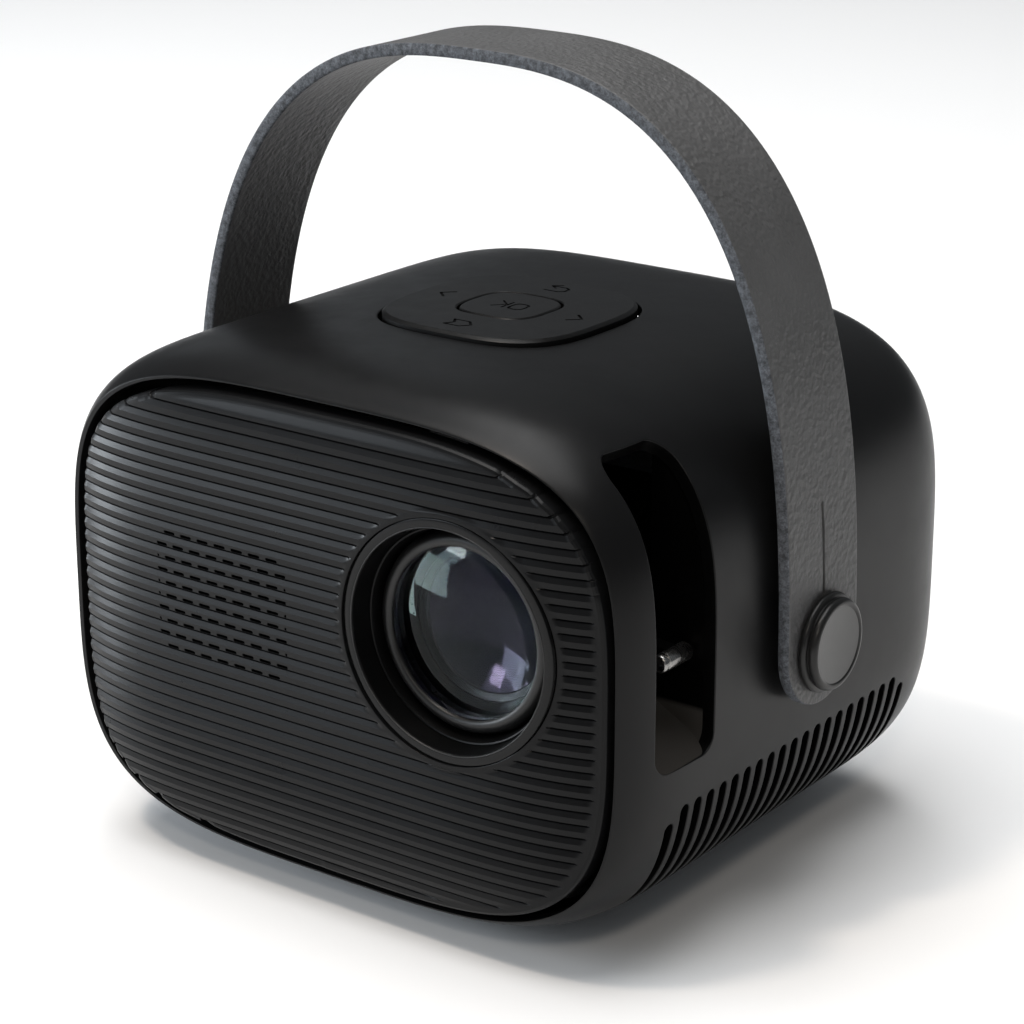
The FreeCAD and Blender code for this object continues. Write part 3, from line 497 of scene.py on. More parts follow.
def raw_edge(name, dark, light):
    """Cut leather edge: packed fibres, pale and fuzzy."""
    material, tree, shader, place = new_material(name)
    fibres = noise(tree, place, 2400, 6, 0.7)
    blotch = noise(tree, place, 800, 4)
    both = tree.nodes.new("ShaderNodeMath")
    both.operation = "MULTIPLY"
    tree.links.new(fibres, both.inputs[0])
    tree.links.new(blotch, both.inputs[1])
    ramp = tree.nodes.new("ShaderNodeMapRange")
    ramp.inputs["From Min"].default_value = 0.16
    ramp.inputs["From Max"].default_value = 0.36
    tree.links.new(both.outputs[0], ramp.inputs["Value"])
    tree.links.new(mixed(tree, ramp.outputs[0], dark, light), shader.inputs["Base Color"])
    shader.inputs["Roughness"].default_value = 0.85
    bumped(tree, shader, fibres, 0.00022)
    return material


# The lens elements, which some of the lights light alone.
GLASS = bpy.data.collections.new("lens_glass_pieces")


def lens_glass(name, tint, sheen, ior):
    """Coated optical glass: a tint for what passes and one for what it reflects."""
    material, tree, shader, place = new_material(name)
    shader.inputs["Base Color"].default_value = (*tint, 1)
    shader.inputs["Transmission Weight"].default_value = 1.0
    shader.inputs["IOR"].default_value = ior
    shader.inputs["Specular Tint"].default_value = (*sheen, 1)
    dust = noise(tree, place, 700, 8, 0.7)
    tree.links.new(spread(tree, dust, 0.004, 0.02), shader.inputs["Roughness"])
    return material


def painted_liner(name):
    """The window's liner: black walls as painted shade, above a slightly paler, warmer floor as painted
    light.
    """
    material, tree, shader, place = new_material(name)
    split = tree.nodes.new("ShaderNodeSeparateXYZ")
    tree.links.new(place, split.inputs[0])
    ramp = tree.nodes.new("ShaderNodeMapRange")
    ramp.inputs["From Min"].default_value = 0.0495
    ramp.inputs["From Max"].default_value = 0.0485
    tree.links.new(split.outputs["Z"], ramp.inputs["Value"])
    # Black above the split height is painted shade; the paler, warmer colour below it is painted light.
    both = mixed(tree, ramp.outputs["Result"], (0.0008, 0.0008, 0.0008), (0.036, 0.033, 0.03))
    tree.links.new(both, shader.inputs["Base Color"])
    tree.links.new(spread(tree, noise(tree, place, 260, 5), 0.34, 0.46), shader.inputs["Roughness"])
    shader.inputs["Specular IOR Level"].default_value = 0.04
    bumped(tree, shader, noise(tree, place, 4200, 2), 0.00001)
    return material


def coating_over_painted_shade(name, tint, sheen, ior):
    """An inner lens seen against the dark: a clear gloss with a coloured coating over black, the black being
    painted shade for the dark seen through the glass.
    """
    material, tree, shader, place = new_material(name)
    dust = noise(tree, place, 700, 8, 0.7)
    # The near-black base colour is painted shade in place of the dark seen through the glass.
    tree.links.new(mixed(tree, dust, tint, tuple(1.4 * part for part in tint)), shader.inputs["Base Color"])
    shader.inputs["IOR"].default_value = ior
    shader.inputs["Specular Tint"].default_value = (*sheen, 1)
    tree.links.new(spread(tree, dust, 0.04, 0.07), shader.inputs["Roughness"])
    return material


def paint(node, material):
    """Gives a CAD node one material on all its faces."""
    thing = frame["nodes"][node]
    thing.data.materials.clear()
    thing.data.materials.append(material)


SHELL = plastic("shell_black", (0.0036, 0.0036, 0.0038), (0.0046, 0.0046, 0.0048), 0.33, specular=0.17)
PANEL = plastic("panel_black", (0.0042, 0.0043, 0.0046), (0.0054, 0.0055, 0.0059), 0.3,
                grain=0.000008, specular=0.14)
GLOSS = plastic("gloss_black", (0.0028, 0.0028, 0.003), (0.0036, 0.0036, 0.0038), 0.22,
                grain=0.000005, specular=0.2)
# Painted shade: a near-black for the walls deep in cuts and for inner parts, standing for the shade inside
# them.
PAINTED_SHADE = plastic("painted_shade_black", (0.0007, 0.0007, 0.0007), (0.001, 0.001, 0.001), 0.5, specular=0.04)
FUNNEL = plastic("funnel_black", (0.0012, 0.0012, 0.0013), (0.0018, 0.0018, 0.0019), 0.4, specular=0.14)
PAD = plastic("pad_black", (0.0048, 0.0048, 0.0049), (0.0062, 0.0062, 0.0063), 0.36, specular=0.18)
MARK = plastic("mark_black", (0.0012, 0.0012, 0.0012), (0.002, 0.002, 0.002), 0.6, specular=0.1)
RING = plastic("ring_black", (0.0036, 0.0036, 0.0038), (0.0046, 0.0046, 0.0048), 0.4, specular=0.4)
KNOB = plastic("knob_black", (0.008, 0.0079, 0.0078), (0.011, 0.0108, 0.0106), 0.3,
               grain=0.000006, specular=0.3)
PIN = metal("pin_metal", (0.24, 0.236, 0.23), (0.32, 0.315, 0.305), 0.26, (1, 14, 1))
KNOB_FACE = plastic("knob_face", (0.006, 0.006, 0.006), (0.008, 0.008, 0.008), 0.34, specular=0.8)
STRAP_SKIN = leather("strap_skin", (0.058, 0.058, 0.058), (0.074, 0.074, 0.075), 880, 0.00022, 0.5)
# Painted light: the back face and the cut walls are paler than the outer skin, standing for light on the
# strap's inner side.
STRAP_BACK_PAINTED_LIGHT = leather("strap_back_painted_light", (0.085, 0.085, 0.086), (0.110, 0.110, 0.111), 800, 0.0002, 0.5)
STRAP_EDGE = raw_edge("strap_edge", (0.028, 0.030, 0.035), (0.125, 0.137, 0.155))


# ---------------- body shell
def body_point(angle, y):
    """The shell's outer surface: superellipse sections that shrink towards both ends."""
    depth = np.minimum(np.abs(y) / BODY_HALF[1], 0.999)
    across = (1 - depth ** PLAN) ** (1 / PLAN)
    upright = (1 - depth ** SIDE) ** (1 / SIDE)
    half_x = BODY_HALF[0] * across
    half_z = BODY_HALF[2] * upright
    ca, sa = np.cos(angle), np.sin(angle)
    radius = (np.abs(ca / half_x) ** SECTION + np.abs(sa / half_z) ** SECTION) ** (-1 / SECTION)
    return np.stack([radius * ca, y + 0 * angle, BODY_CENTRE_Z + radius * sa], -1)


def vent_distance(x, y, z):
    """Distance outside the vents, whose first and last ones are shorter."""
    index = np.clip(np.round((y - VENT_FIRST_Y) / VENT_PITCH), 0, VENTS - 1)
    top = np.where((index == 0) | (index == VENTS - 1), VENT_TOP_Z - VENT_END_DROP, VENT_TOP_Z) - VENT_HALF
    side = y - (VENT_FIRST_Y + VENT_PITCH * index)
    slot = np.hypot(side, np.maximum(z - top, 0)) - VENT_HALF
    return np.maximum(slot, VENT_INNER_X - np.abs(x))


def shell_keep(angle, y):
    """Distances inside the ends and outside the window, the pad's well, the base opening and the vents."""
    point = body_point(angle, y)
    x, z = point[..., 0], point[..., 2]
    far = 50.0
    pocket = np.where(np.abs(y) > 50, (pocket_length(x, z) - 1) * POCKET_HALF[1], far)
    ends = np.minimum(LIP_Y - np.abs(y), pocket) - LIP_ROUND
    window = round_box(y - WINDOW_CENTRE[0], z - WINDOW_CENTRE[1], *WINDOW_HALF, WINDOW_CORNER) - WINDOW_ROUND
    window = np.where(x > 45, window, far)
    pad = np.where(z > BODY_CENTRE_Z + 30, power_length(x, y, PAD_EXPONENT) - PAD_WELL, far)
    base = np.where(z < BODY_CENTRE_Z - 30, round_box(x, y, *BASE_HALF, 1.5), far)
    vents = np.where(z < BODY_CENTRE_Z, vent_distance(x, y, z) - VENT_ROUND, far)
    return np.stack([ends, window, pad, base, vents])


def angle_lines():
    """Section angles, dense where the vents and the window have their ends."""
    count = 420
    angles = np.linspace(-math.pi, math.pi, count, endpoint=False)
    extra = []
    for low, high, step in ((7, 12, 0.6), (27, 34.2, 0.3), (40, 47, 0.5), (94, 101, 0.5)):
        for z in np.arange(low, high, step):
            share = np.clip(abs(z - BODY_CENTRE_Z) / BODY_HALF[2], 0, 0.9999)
            x = BODY_HALF[0] * (1 - share ** SECTION) ** (1 / SECTION)
            angle = math.atan2(z - BODY_CENTRE_Z, x)
            extra += [angle, math.copysign(math.pi, angle) - angle]
    return np.unique(np.round(np.concatenate([angles, extra]), 6))


def roll_steps(radius, depth):
    """(Step out, step in) pairs that roll over an edge and run straight in."""
    turns = np.linspace(0, math.pi / 2, RIM_LEVELS - 1)[1:]
    steps = [(radius * math.sin(turn), radius * (1 - math.cos(turn))) for turn in turns]
    return steps + [(radius, depth * 0.5), (radius, depth)]


def rounded_rim(radius, depth, material=0, first=0):
    return roll_steps(radius, depth), (material, first)


def pocket_length(x, z):
    """1 on the wall of the pocket that holds a panel, more outside it."""
    return power_length((x - POCKET_X) / POCKET_HALF[0], (z - BODY_CENTRE_Z) / POCKET_HALF[1], SECTION)


def lip_ring(points, out, level):
    """The thin end of the shell: a rolled edge, a narrow flat and the wall of the panel's pocket."""
    inward = np.sign(points[:, 1:2])
    length = pocket_length(points[:, 0], points[:, 2])[:, None]
    wall = points.copy()
    wall[:, 0:1] = POCKET_X + (points[:, 0:1] - POCKET_X) / length
    wall[:, 2:3] = BODY_CENTRE_Z + (points[:, 2:3] - BODY_CENTRE_Z) / length
    toward = wall - points
    gap = np.maximum(np.linalg.norm(toward, axis=1, keepdims=True), 1e-6)
    toward = toward / gap
    level_y = points + out * LIP_ROUND
    level_y[:, [0, 2]] = points[:, [0, 2]]
    flat = wall.copy()
    flat[:, 1] = level_y[:, 1]
    if level < 2:
        turn = math.radians((30, 65)[level])
        return points + out * LIP_ROUND * math.sin(turn) + toward * LIP_ROUND * 0.8 * (1 - math.cos(turn))
    if level == 2:
        return level_y + toward * np.minimum(LIP_ROUND, gap * 0.6)
    if level == 3:
        return flat - toward * np.minimum(0.12, gap * 0.3)
    flat[:, 1:2] -= inward * (0.15 if level == 4 else POCKET_DEPTH)
    return flat


def build_shell():
    ys = grid_lines((-61.5, -45, 0.75), (-45, 43, 0.33), (43, 61.5, 0.75))
    rims = [(lip_ring, (0, 0)), rounded_rim(WINDOW_ROUND, 2.6, 1, 4), rounded_rim(0.3, 2.4, 1, 4)]
    rims += [rounded_rim(0.3, 2.2), rounded_rim(VENT_ROUND, 2.4, 1, 4)]
    shell = patch("shell_skin", angle_lines(), ys, body_point, shell_keep, rims, flip=True, wrap=True)
    shell.data.materials.append(SHELL)
    # The walls deep in the window, the pad's well and the vents are painted shade.
    shell.data.materials.append(PAINTED_SHADE)
    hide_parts("main_shell")
    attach(shell, "projector")


# ---------------- front and rear panels
def panel_drop(x, z):
    """How far a panel's face curves back from its middle."""
    share_x = np.abs(x) / PANEL_DROP_HALF[0]
    share_z = np.abs(z - BODY_CENTRE_Z) / PANEL_DROP_HALF[1]
    return PANEL_DROP * (share_x ** PANEL_DROP_EXPONENT + share_z ** PANEL_DROP_EXPONENT)


def rib_fall(z):
    """Depth below the crest: a thin groove, a face leaning down, a crisp edge and a face leaning up."""
    phase = np.mod((z - RIB_DATUM_Z) / RIB_PITCH, 1.0)
    return np.interp(phase, RIB_PHASES, RIB_FALLS)


def ease(value, low, high):
    share = np.clip((value - low) / (high - low), 0, 1)
    return share * share * (3 - 2 * share)


def outline_gap(x, z):
    """Distance inside the panel's outline."""
    length = power_length((x - PANEL_X) / PANEL_HALF[0], (z - BODY_CENTRE_Z) / PANEL_HALF[1], SECTION)
    return (1 - length) * PANEL_HALF[1] * 1.02


def front_point(x, z):
    """The ribbed face: ribs fade out at the top, round the lens and along the right edge."""
    lens_gap = np.hypot(x - LENS[0], z - LENS[1]) - BEZEL_RADIUS
    edge = outline_gap(x, z)
    band = 1 - ease(z, *RIB_SIDE_Z)
    right = np.where(x > 0, ease(edge, 0.2 + 1.1 * band, 0.8 + 1.8 * band), 1.0)
    fade = right * ease(lens_gap, *RIB_LENS_GAP) * (1 - ease(z, *RIB_TOP_Z))
    y = -PANEL_FACE_Y + panel_drop(x, z) + rib_fall(z) * fade
    return np.stack([x, y, z], -1)


def dash_distance(x, z):
    """Short speaker slots in the ribs' lower faces, staggered row by row and mirrored about the middle."""
    middle = (SPEAKER_ROWS - 1) / 2
    row = np.clip(np.round((SPEAKER[1] - z) / RIB_PITCH + middle), 0, SPEAKER_ROWS - 1)
    centre_z = SPEAKER[1] + (middle - row) * RIB_PITCH
    from_middle = np.abs(row - middle) + 0.5
    offset = np.where(np.mod(from_middle, 2) == 0, 0.5, 0.0)
    most = np.where(from_middle == SPEAKER_ROWS / 2, 3.0, 4.0) - offset
    column = np.clip(np.round((x - SPEAKER[0]) / SPEAKER_PITCH - offset) + offset, -most, most)
    slot = round_box(x - SPEAKER[0] - column * SPEAKER_PITCH, z - centre_z, *DASH_HALF, 0.3)
    return np.maximum(slot, np.abs(x - SPEAKER[0]) - SPEAKER_HALF)


def front_keep(x, z):
    lens = np.hypot(x - LENS[0], z - LENS[1]) - BEZEL_RADIUS - 0.05
    return np.stack([outline_gap(x, z) - PANEL_ROUND, lens, dash_distance(x, z)])


def straight_rim(radius, depth, back, material=0):
    """A rim that rolls over an edge and runs straight back along Y."""
    steps = roll_steps(radius, depth)

    def ring(points, out, level):
        side = out * np.array([1, 0, 1])
        side = side / np.maximum(np.linalg.norm(side, axis=1, keepdims=True), 1e-9)
        return points + side * steps[level][0] + np.array([0, back * steps[level][1], 0])

    return ring, (material, 0)


def panel_rims(back, hole_depth, slot_material):
    """Rims of the outline, of the lens or socket holes and of the slots."""
    return [straight_rim(PANEL_ROUND, 5.0, back), straight_rim(0.12, hole_depth, back),
            straight_rim(0.1, hole_depth, back, slot_material)]


def build_front_panel():
    step = RIB_PITCH / 13
    zs = RIB_DATUM_Z + step * np.arange(-int(63 / step), int(36 / step))
    xs = grid_lines((-64, -40, 0.8), (-40, -2, 0.24), (-2, 8, 0.6), (8, 56, 0.5), (56, 64, 0.35))
    panel = patch("ribbed_front", xs, zs, front_point, front_keep, panel_rims(1, 1.6, 1), sharp=20)
    panel.data.materials.append(PANEL)
    # The speaker slots' walls are painted shade.
    panel.data.materials.append(PAINTED_SHADE)
    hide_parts("front_panel")
    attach(panel, "projector")


def rear_point(x, z):
    return np.stack([x, PANEL_FACE_Y - panel_drop(x, z), z], -1)


def rear_keep(x, z):
    """Distances inside the outline and outside the ports and the exhaust slots."""
    row = np.clip(np.round((z - REAR_SLOT_FIRST_Z) / REAR_SLOT_PITCH), 0, REAR_SLOTS - 1)
    slot_z = REAR_SLOT_FIRST_Z + row * REAR_SLOT_PITCH
    slots = round_box(np.abs(x) - REAR_SLOT_X, z - slot_z, *REAR_SLOT_HALF, 0.74)
    ports = [np.hypot(x - port_x, z - PORT_Z) - radius for port_x, radius in ROUND_PORTS.values()]
    ports += [round_box(x - port_x, z - PORT_Z, *shape) for port_x, *shape in SOCKETS.values()]
    holes = np.minimum.reduce(ports)
    return np.stack([outline_gap(x, z) - PANEL_ROUND, holes - REAR_ROUND, slots - REAR_ROUND])


def build_rear_panel():
    xs = grid_lines((-64, -56, 0.5), (-56, -50, 0.3), (-50, 48, 0.45), (48, 56, 0.3), (56, 64, 0.5))
    zs = grid_lines((7, 18, 0.8), (18, 30, 0.35), (30, 37, 1.0), (37, 92, 0.21), (92, 102, 0.6))
    panel = patch("rear_cover", xs, zs, rear_point, rear_keep, panel_rims(-1, 2.1, 0), flip=True)
    panel.data.materials.append(PANEL)
    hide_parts("rear_panel")
    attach(panel, "projector")


# ---------------- lens
def bezel_face(x, z):
    """The bezel's face is flatter than the panel, so its outer side stands a little proud."""
    return -PANEL_FACE_Y + BEZEL_BEND * panel_drop(x, z)


def bezel_shape(points):
    """Lays a turned profile on the bezel's face."""
    points = points.copy()
    points[..., 1] += bezel_face(points[..., 0], points[..., 2])
    return points


def funnel_shape(points):
    """The funnel wall runs from the bezel's curved face back to a flat step."""
    points = points.copy()
    start = bezel_face(points[..., 0], points[..., 2]) + FUNNEL_START
    share = points[..., 1]
    points[..., 1] = start * (1 - share) + FUNNEL_END_Y * share
    return points


def build_lens():
    cx, cz = LENS
    flange = [(23.3, 3.4), (23.3, 0.62), (23.24, 0.5), (23.1, 0.45)]
    flange += [(21.9, 0.45), (21.66, 0.48), (21.5, 0.62), (21.45, 0.95)]
    bezel = lathe("lens_bezel_ring", flange, (cx, 0, cz), "Y", LENS_SEGMENTS, bezel_shape)
    bezel.data.materials.append(GLOSS)
    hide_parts("lens_bezel")
    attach(bezel, "projector")
    bead = [(21.72, 0.5), (21.66, 0.4), (21.56, 0.38), (21.46, 0.45), (21.4, 0.6), (21.38, 0.9)]
    edge = lathe("lens_bezel_edge", bead, (cx, 0, cz), "Y", LENS_SEGMENTS, bezel_shape)
    edge.data.materials.append(RING)
    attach(edge, "projector")
    wall = [(21.47 - 0.62 * share, share) for share in np.linspace(0, 1, 9)]
    funnel = lathe("lens_funnel", wall, (cx, 0, cz), "Y", LENS_SEGMENTS, funnel_shape)
    step = [(20.85, FUNNEL_END_Y), (20.6, -58.82), (20.35, -58.7)]
    step += [(20.2, -58.3), (19.9, -57.0), (19.9, -54.0)]
    ledge = lathe("lens_funnel_step", step, (cx, 0, cz), "Y", LENS_SEGMENTS)
    for piece in (funnel, ledge):
        piece.data.materials.append(FUNNEL)
        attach(piece, "projector")
    nose = [(19.5, -54.0), (19.48, -55.6), (19.3, -56.5), (18.95, -57.2), (18.5, -57.65), (18.0, -57.9)]
    nose += [(17.5, -57.98), (17.05, -57.9), (16.7, -57.7), (16.5, -57.4), (16.45, -57.0), (16.45, -55.0)]
    ring = lathe("lens_retaining_ring", nose, (cx, 0, cz), "Y", LENS_SEGMENTS)
    ring.data.materials.append(RING)
    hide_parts("lens_retainer")
    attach(ring, "lens_group")


def glass_profile(radius, front, rear, front_bulge, rear_bulge, count=24):
    """Half section of a lens from its front pole round its edge to its rear pole."""
    share = np.linspace(0, 1, count)
    near = [(radius * s, front - front_bulge * (1 - s * s)) for s in share]
    far = [(radius * s, rear + rear_bulge * (1 - s * s)) for s in share[::-1]]
    return near + far


def build_glass():
    cx, cz = LENS
    # The middle and rear lenses are opaque, and their black base is painted shade.
    coatings = [lens_glass("front_coating", (0.86, 0.9, 0.96), (0.8, 0.94, 0.97), 1.165),
                coating_over_painted_shade("middle_coating_over_painted_shade", (0.0012, 0.001, 0.003), (0.88, 0.66, 1.0), 1.2),
                coating_over_painted_shade("rear_coating_over_painted_shade", (0.001, 0.001, 0.004), (0.25, 0.35, 1.0), 1.3)]
    profiles = [glass_profile(16.4, -57.1, -52.4, 2.6, -1.6),
                glass_profile(13.2, -49.0, -44.4, -3.2, 1.5),
                glass_profile(10.8, -33.0, -28.0, 2.6, 1.6)]
    for place, coating, profile in zip(("front", "middle", "rear"), coatings, profiles):
        piece = lathe(place + "_lens", profile, (cx, 0, cz), "Y", GLASS_SEGMENTS)
        piece.data.materials.append(coating)
        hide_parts(place + "_element")
        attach(piece, "lens_group")
        GLASS.objects.link(piece)
    steps = [(18.3, -55.2), (16.4, -55.2), (16.4, -50.4), (14.6, -50.4), (14.6, -49.9), (13.4, -49.4)]
    steps += [(13.3, -43.6), (12.4, -43.0), (12.4, -40.5), (11.6, -40.0), (11.6, -37.5), (11.0, -37.0)]
    steps += [(10.9, -26.0), (18.3, -23.0), (18.3, -54.2)]
    barrel = lathe("lens_tube", steps, (cx, 0, cz), "Y", GLASS_SEGMENTS)
    barrel.data.materials.append(FUNNEL)
    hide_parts("lens_barrel")
    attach(barrel, "lens_group")


# ---------------- focus pin
def build_pin():
    low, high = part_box("focus_pin")
    x = (low.x + high.x) / 2 / MM
    z = (low.z + high.z) / 2 / MM
    y0, y1 = low.y / MM, high.y / MM
    profile = [(0.0, y0), (1.25, y0), (1.6, y0 + 0.2), (1.75, y0 + 0.5), (1.75, y0 + 1.1), (1.45, y0 + 1.3)]
    profile += [(1.45, y0 + 1.6), (1.72, y0 + 1.8), (1.8, y0 + 2.1), (1.8, y1 - 0.5), (1.6, y1 - 0.15)]
    profile += [(1.2, y1), (0.0, y1)]
    pin = lathe("finger_pin", profile, (x, 0, z), "Y", 64)
    pin.data.materials.append(PIN)
    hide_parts("focus_pin")
    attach(pin, "focus_collar")


# ---------------- carrying strap
def strap_path():
    """Points along the strap's inner line from the right tab over the top to the left one."""
    angle = np.linspace(0, math.pi, 1201)
    ca, sa = np.cos(angle), np.sin(angle)
    radius = (np.abs(ca / STRAP_INNER_X) ** STRAP_EXPONENT + (sa / STRAP_RISE) ** STRAP_EXPONENT)
    radius = radius ** (-1 / STRAP_EXPONENT)
    x = radius * ca
    z = STRAP_SPRING_Z + radius * sa
    x = np.concatenate([[STRAP_INNER_X], x, [-STRAP_INNER_X]])
    z = np.concatenate([[KNOB_Z - KNOB_RUN], z, [KNOB_Z - KNOB_RUN]])
    run = np.concatenate([[0], np.cumsum(np.hypot(np.diff(x), np.diff(z)))])
    return run, x, z


STRAP_RUN, STRAP_X, STRAP_Z = strap_path()
STRAP_LENGTH = STRAP_RUN[-1]


def strap_point(run, y):
    """The strap's outer face."""
    run = np.clip(run, 0.01, STRAP_LENGTH - 0.01)
    x = np.interp(run, STRAP_RUN, STRAP_X)
    z = np.interp(run, STRAP_RUN, STRAP_Z)
    reach = 1.2
    ahead = np.clip(run + reach, 0, STRAP_LENGTH)
    behind = np.clip(run - reach, 0, STRAP_LENGTH)
    tx = np.interp(ahead, STRAP_RUN, STRAP_X) - np.interp(behind, STRAP_RUN, STRAP_X)
    tz = np.interp(ahead, STRAP_RUN, STRAP_Z) - np.interp(behind, STRAP_RUN, STRAP_Z)
    size = np.hypot(tx, tz)
    return np.stack([x + STRAP_THICKNESS * tz / size, y, z - STRAP_THICKNESS * tx / size], -1)


def strap_keep(run, y):
    """Inside the rounded ends, outside the slit and the hole at each knob."""
    from_end = np.minimum(run, STRAP_LENGTH - run)
    past = np.maximum(KNOB_RUN - from_end, 0)
    half = STRAP_HALF_WIDTH - STRAP_ROUND
    edge = half - np.hypot(y, past)
    along = np.abs(from_end - KNOB_RUN - SLIT_HALF_LENGTH) - SLIT_HALF_LENGTH
    slit = np.hypot(y, np.maximum(along, 0)) - SLIT_HALF_WIDTH
    hole = np.hypot(y, from_end - KNOB_RUN) - STRAP_HOLE
    return np.stack([edge, np.minimum(slit, hole)])


def strap_rims():
    """The outer edge is rounded front and back; the slit and the hole are cut almost square."""
    thick = STRAP_THICKNESS
    side = [(0.3, 0.08), (0.47, 0.32), (STRAP_ROUND, 1.25), (0.46, 2.2), (0.3, 2.42), (0.0, thick)]
    cut = [(0.03, 0.08), (0.05, 0.3), (0.05, 1.25), (0.05, 2.2), (0.03, 2.42), (0.0, thick)]
    return [(side, (1, 1)), (cut, (2, 0))]


def build_strap():
    tab = 45
    top = STRAP_LENGTH - tab
    runs = grid_lines((0.05, tab, 0.45), (tab, top, 1.6), (top, STRAP_LENGTH - 0.05, 0.45))
    ys = grid_lines((-12.6, -11, 0.4), (-11, -1, 0.8), (-1, 1, 0.2), (1, 11, 0.8), (11, 12.6, 0.4))
    strap = patch("leather_strap", runs, ys, strap_point, strap_keep, strap_rims(), flip=True,
                  thickness=STRAP_THICKNESS)
    # The third material, paler than the skin, is painted light.
    for material in (STRAP_SKIN, STRAP_EDGE, STRAP_BACK_PAINTED_LIGHT):
        strap.data.materials.append(material)
    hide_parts("strap")
    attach(strap, "strap_band")


def knob_profiles():
    """The two-tier rim and the dished face, as (radius, height above the strap)."""
    rim = [(3.0, 0), (9.2, 0), (9.62, 0.15), (9.83, 0.5), (9.85, 0.9), (9.75, 1.25), (9.45, 1.5)]
    rim += [(9.05, 1.58), (8.85, 1.66), (8.83, 1.8), (8.98, 1.95), (9.06, 2.3), (9.0, 2.75)]
    rim += [(8.78, 3.15), (8.42, 3.4), (8.05, 3.47), (7.75, 3.4), (KNOB_FACE_RADIUS, KNOB_FACE_HEIGHT)]
    face = [(KNOB_FACE_RADIUS, KNOB_FACE_HEIGHT)]
    for share in np.linspace(0.96, 0, 14):
        face.append((KNOB_FACE_RADIUS * share, KNOB_FACE_HEIGHT - KNOB_DISH * (1 - share * share)))
    return rim, face


def build_knobs():
    tier, dish = knob_profiles()
    for side, word in ((1, "right"), (-1, "left")):
        rim_line = [(radius, side * (KNOB_BASE_X + height)) for radius, height in tier]
        face_line = [(radius, side * (KNOB_BASE_X + height)) for radius, height in dish]
        rim = lathe("knob_rim_" + word, rim_line, (0, 0, KNOB_Z), "X", 128)
        disc = lathe("knob_face_" + word, face_line, (0, 0, KNOB_Z), "X", 128)
        rim.data.materials.append(KNOB)
        disc.data.materials.append(KNOB_FACE)
        for piece in (rim, disc):
            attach(piece, "projector")
        if side > 0:
            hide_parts("strap_knobs")


# ---------------- top controls
def chevron_path(x, turn):
    return [(x - turn * 1.3, -2.1), (x + turn * 0.9, 0.0), (x - turn * 1.3, 2.1)]


def pad_marks(x, y):
    """Distances to the four engraved marks."""
    marks = [path_distance(x, y, chevron_path(16.4, 1)), path_distance(x, y, chevron_path(-16.4, -1))]
    flag = [(-2.6, -14.4), (1.0, -14.4), (2.6, -16.2), (1.0, -18.0)]
    flag += [(-2.6, -18.0), (-1.4, -16.2), (-2.6, -14.4)]
    back = [(-1.9, 14.2), (1.2, 14.2), (2.3, 15.1), (2.3, 16.8), (1.2, 17.7), (-2.2, 17.7)]
    hook = [(-0.7, 16.3), (-2.3, 17.7), (-0.7, 19.0)]
    marks += [path_distance(x, y, flag), path_distance(x, y, back), path_distance(x, y, hook)]
    return np.minimum.reduce(marks) - 0.3


def pad_point(x, y):
    crown = 0.1 * np.clip(power_length(x, y, PAD_EXPONENT) / PAD_HALF, 0, 1) ** 2
    return np.stack([x, y, PAD_TOP_Z - crown], -1)


def pad_keep(x, y):
    reach = power_length(x, y, PAD_EXPONENT)
    return np.stack([PAD_HALF - PAD_CHAMFER - reach, reach - OK_HALF - PAD_INNER_EDGE, pad_marks(x, y)])


def chamfer_rim(width, drop, depth):
    """A rim that slopes down over an edge and runs straight in."""
    steps = [(0.06, 0.02), (width - 0.06, drop - 0.06), (width, drop), (width, drop + 0.1)]
    return steps + [(width, depth * 0.6), (width, depth)], (0, 0)


def ok_letters(x, y):
    """The generic centre mark, read from behind the projector."""
    ring = np.abs(power_length((x - 2.1) / 1.6, y / 2.05, 3.0) - 1) * 1.6
    stem = stroke(x, y, (-0.6, -2.1), (-0.6, 2.1))
    upper = stroke(x, y, (-3.1, 2.1), (-0.9, 0.1))
    lower = stroke(x, y, (-3.1, -2.1), (-0.9, 0.1))
    return np.minimum.reduce([ring, stem, upper, lower]) - 0.25


def ok_point(x, y):
    return np.stack([x, y, PAD_TOP_Z + 0.02 + 0 * x], -1)


def ok_keep(x, y):
    reach = power_length(x, y, PAD_EXPONENT)
    return np.stack([OK_HALF - OK_CHAMFER - reach, ok_letters(x, y)])


def mark_floor(name, corners, faces, body):
    """The dark bottom of the engraved marks."""
    floor = solid(name, corners, faces)
    floor.data.materials.append(MARK)
    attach(floor, body)


def pad_ring(inner, outer, height):
    """A flat ring between two outlines of the pad's shape."""
    count = 64
    angle = np.arange(count) * 2 * math.pi / count
    ca, sa = np.cos(angle), np.sin(angle)
    length = power_length(ca, sa, PAD_EXPONENT)
    z = np.full(count, height)
    rings = [np.stack([reach / length * ca, reach / length * sa, z], 1) for reach in (inner, outer)]
    faces = [[i, count + i, count + (i + 1) % count, (i + 1) % count] for i in range(count)]
    return np.concatenate(rings), faces


def build_pad():
    lines = grid_lines((-22.5, -20, 0.5), (-20, 20, 0.17), (20, 22.5, 0.5))
    rims = [chamfer_rim(PAD_CHAMFER, 0.6, 2.6), chamfer_rim(0.3, 0.25, 2.6), rounded_rim(0.04, 0.3, 1, 0)]
    pad = patch("four_way_pad", lines, lines, pad_point, pad_keep, rims)
    mark_floor("pad_mark_floor", *pad_ring(OK_HALF + 0.5, 20.4, PAD_TOP_Z - 0.36), "pad")
    pad.data.materials.append(PAD)
    pad.data.materials.append(MARK)
    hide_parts("nav_pad")
    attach(pad, "pad")


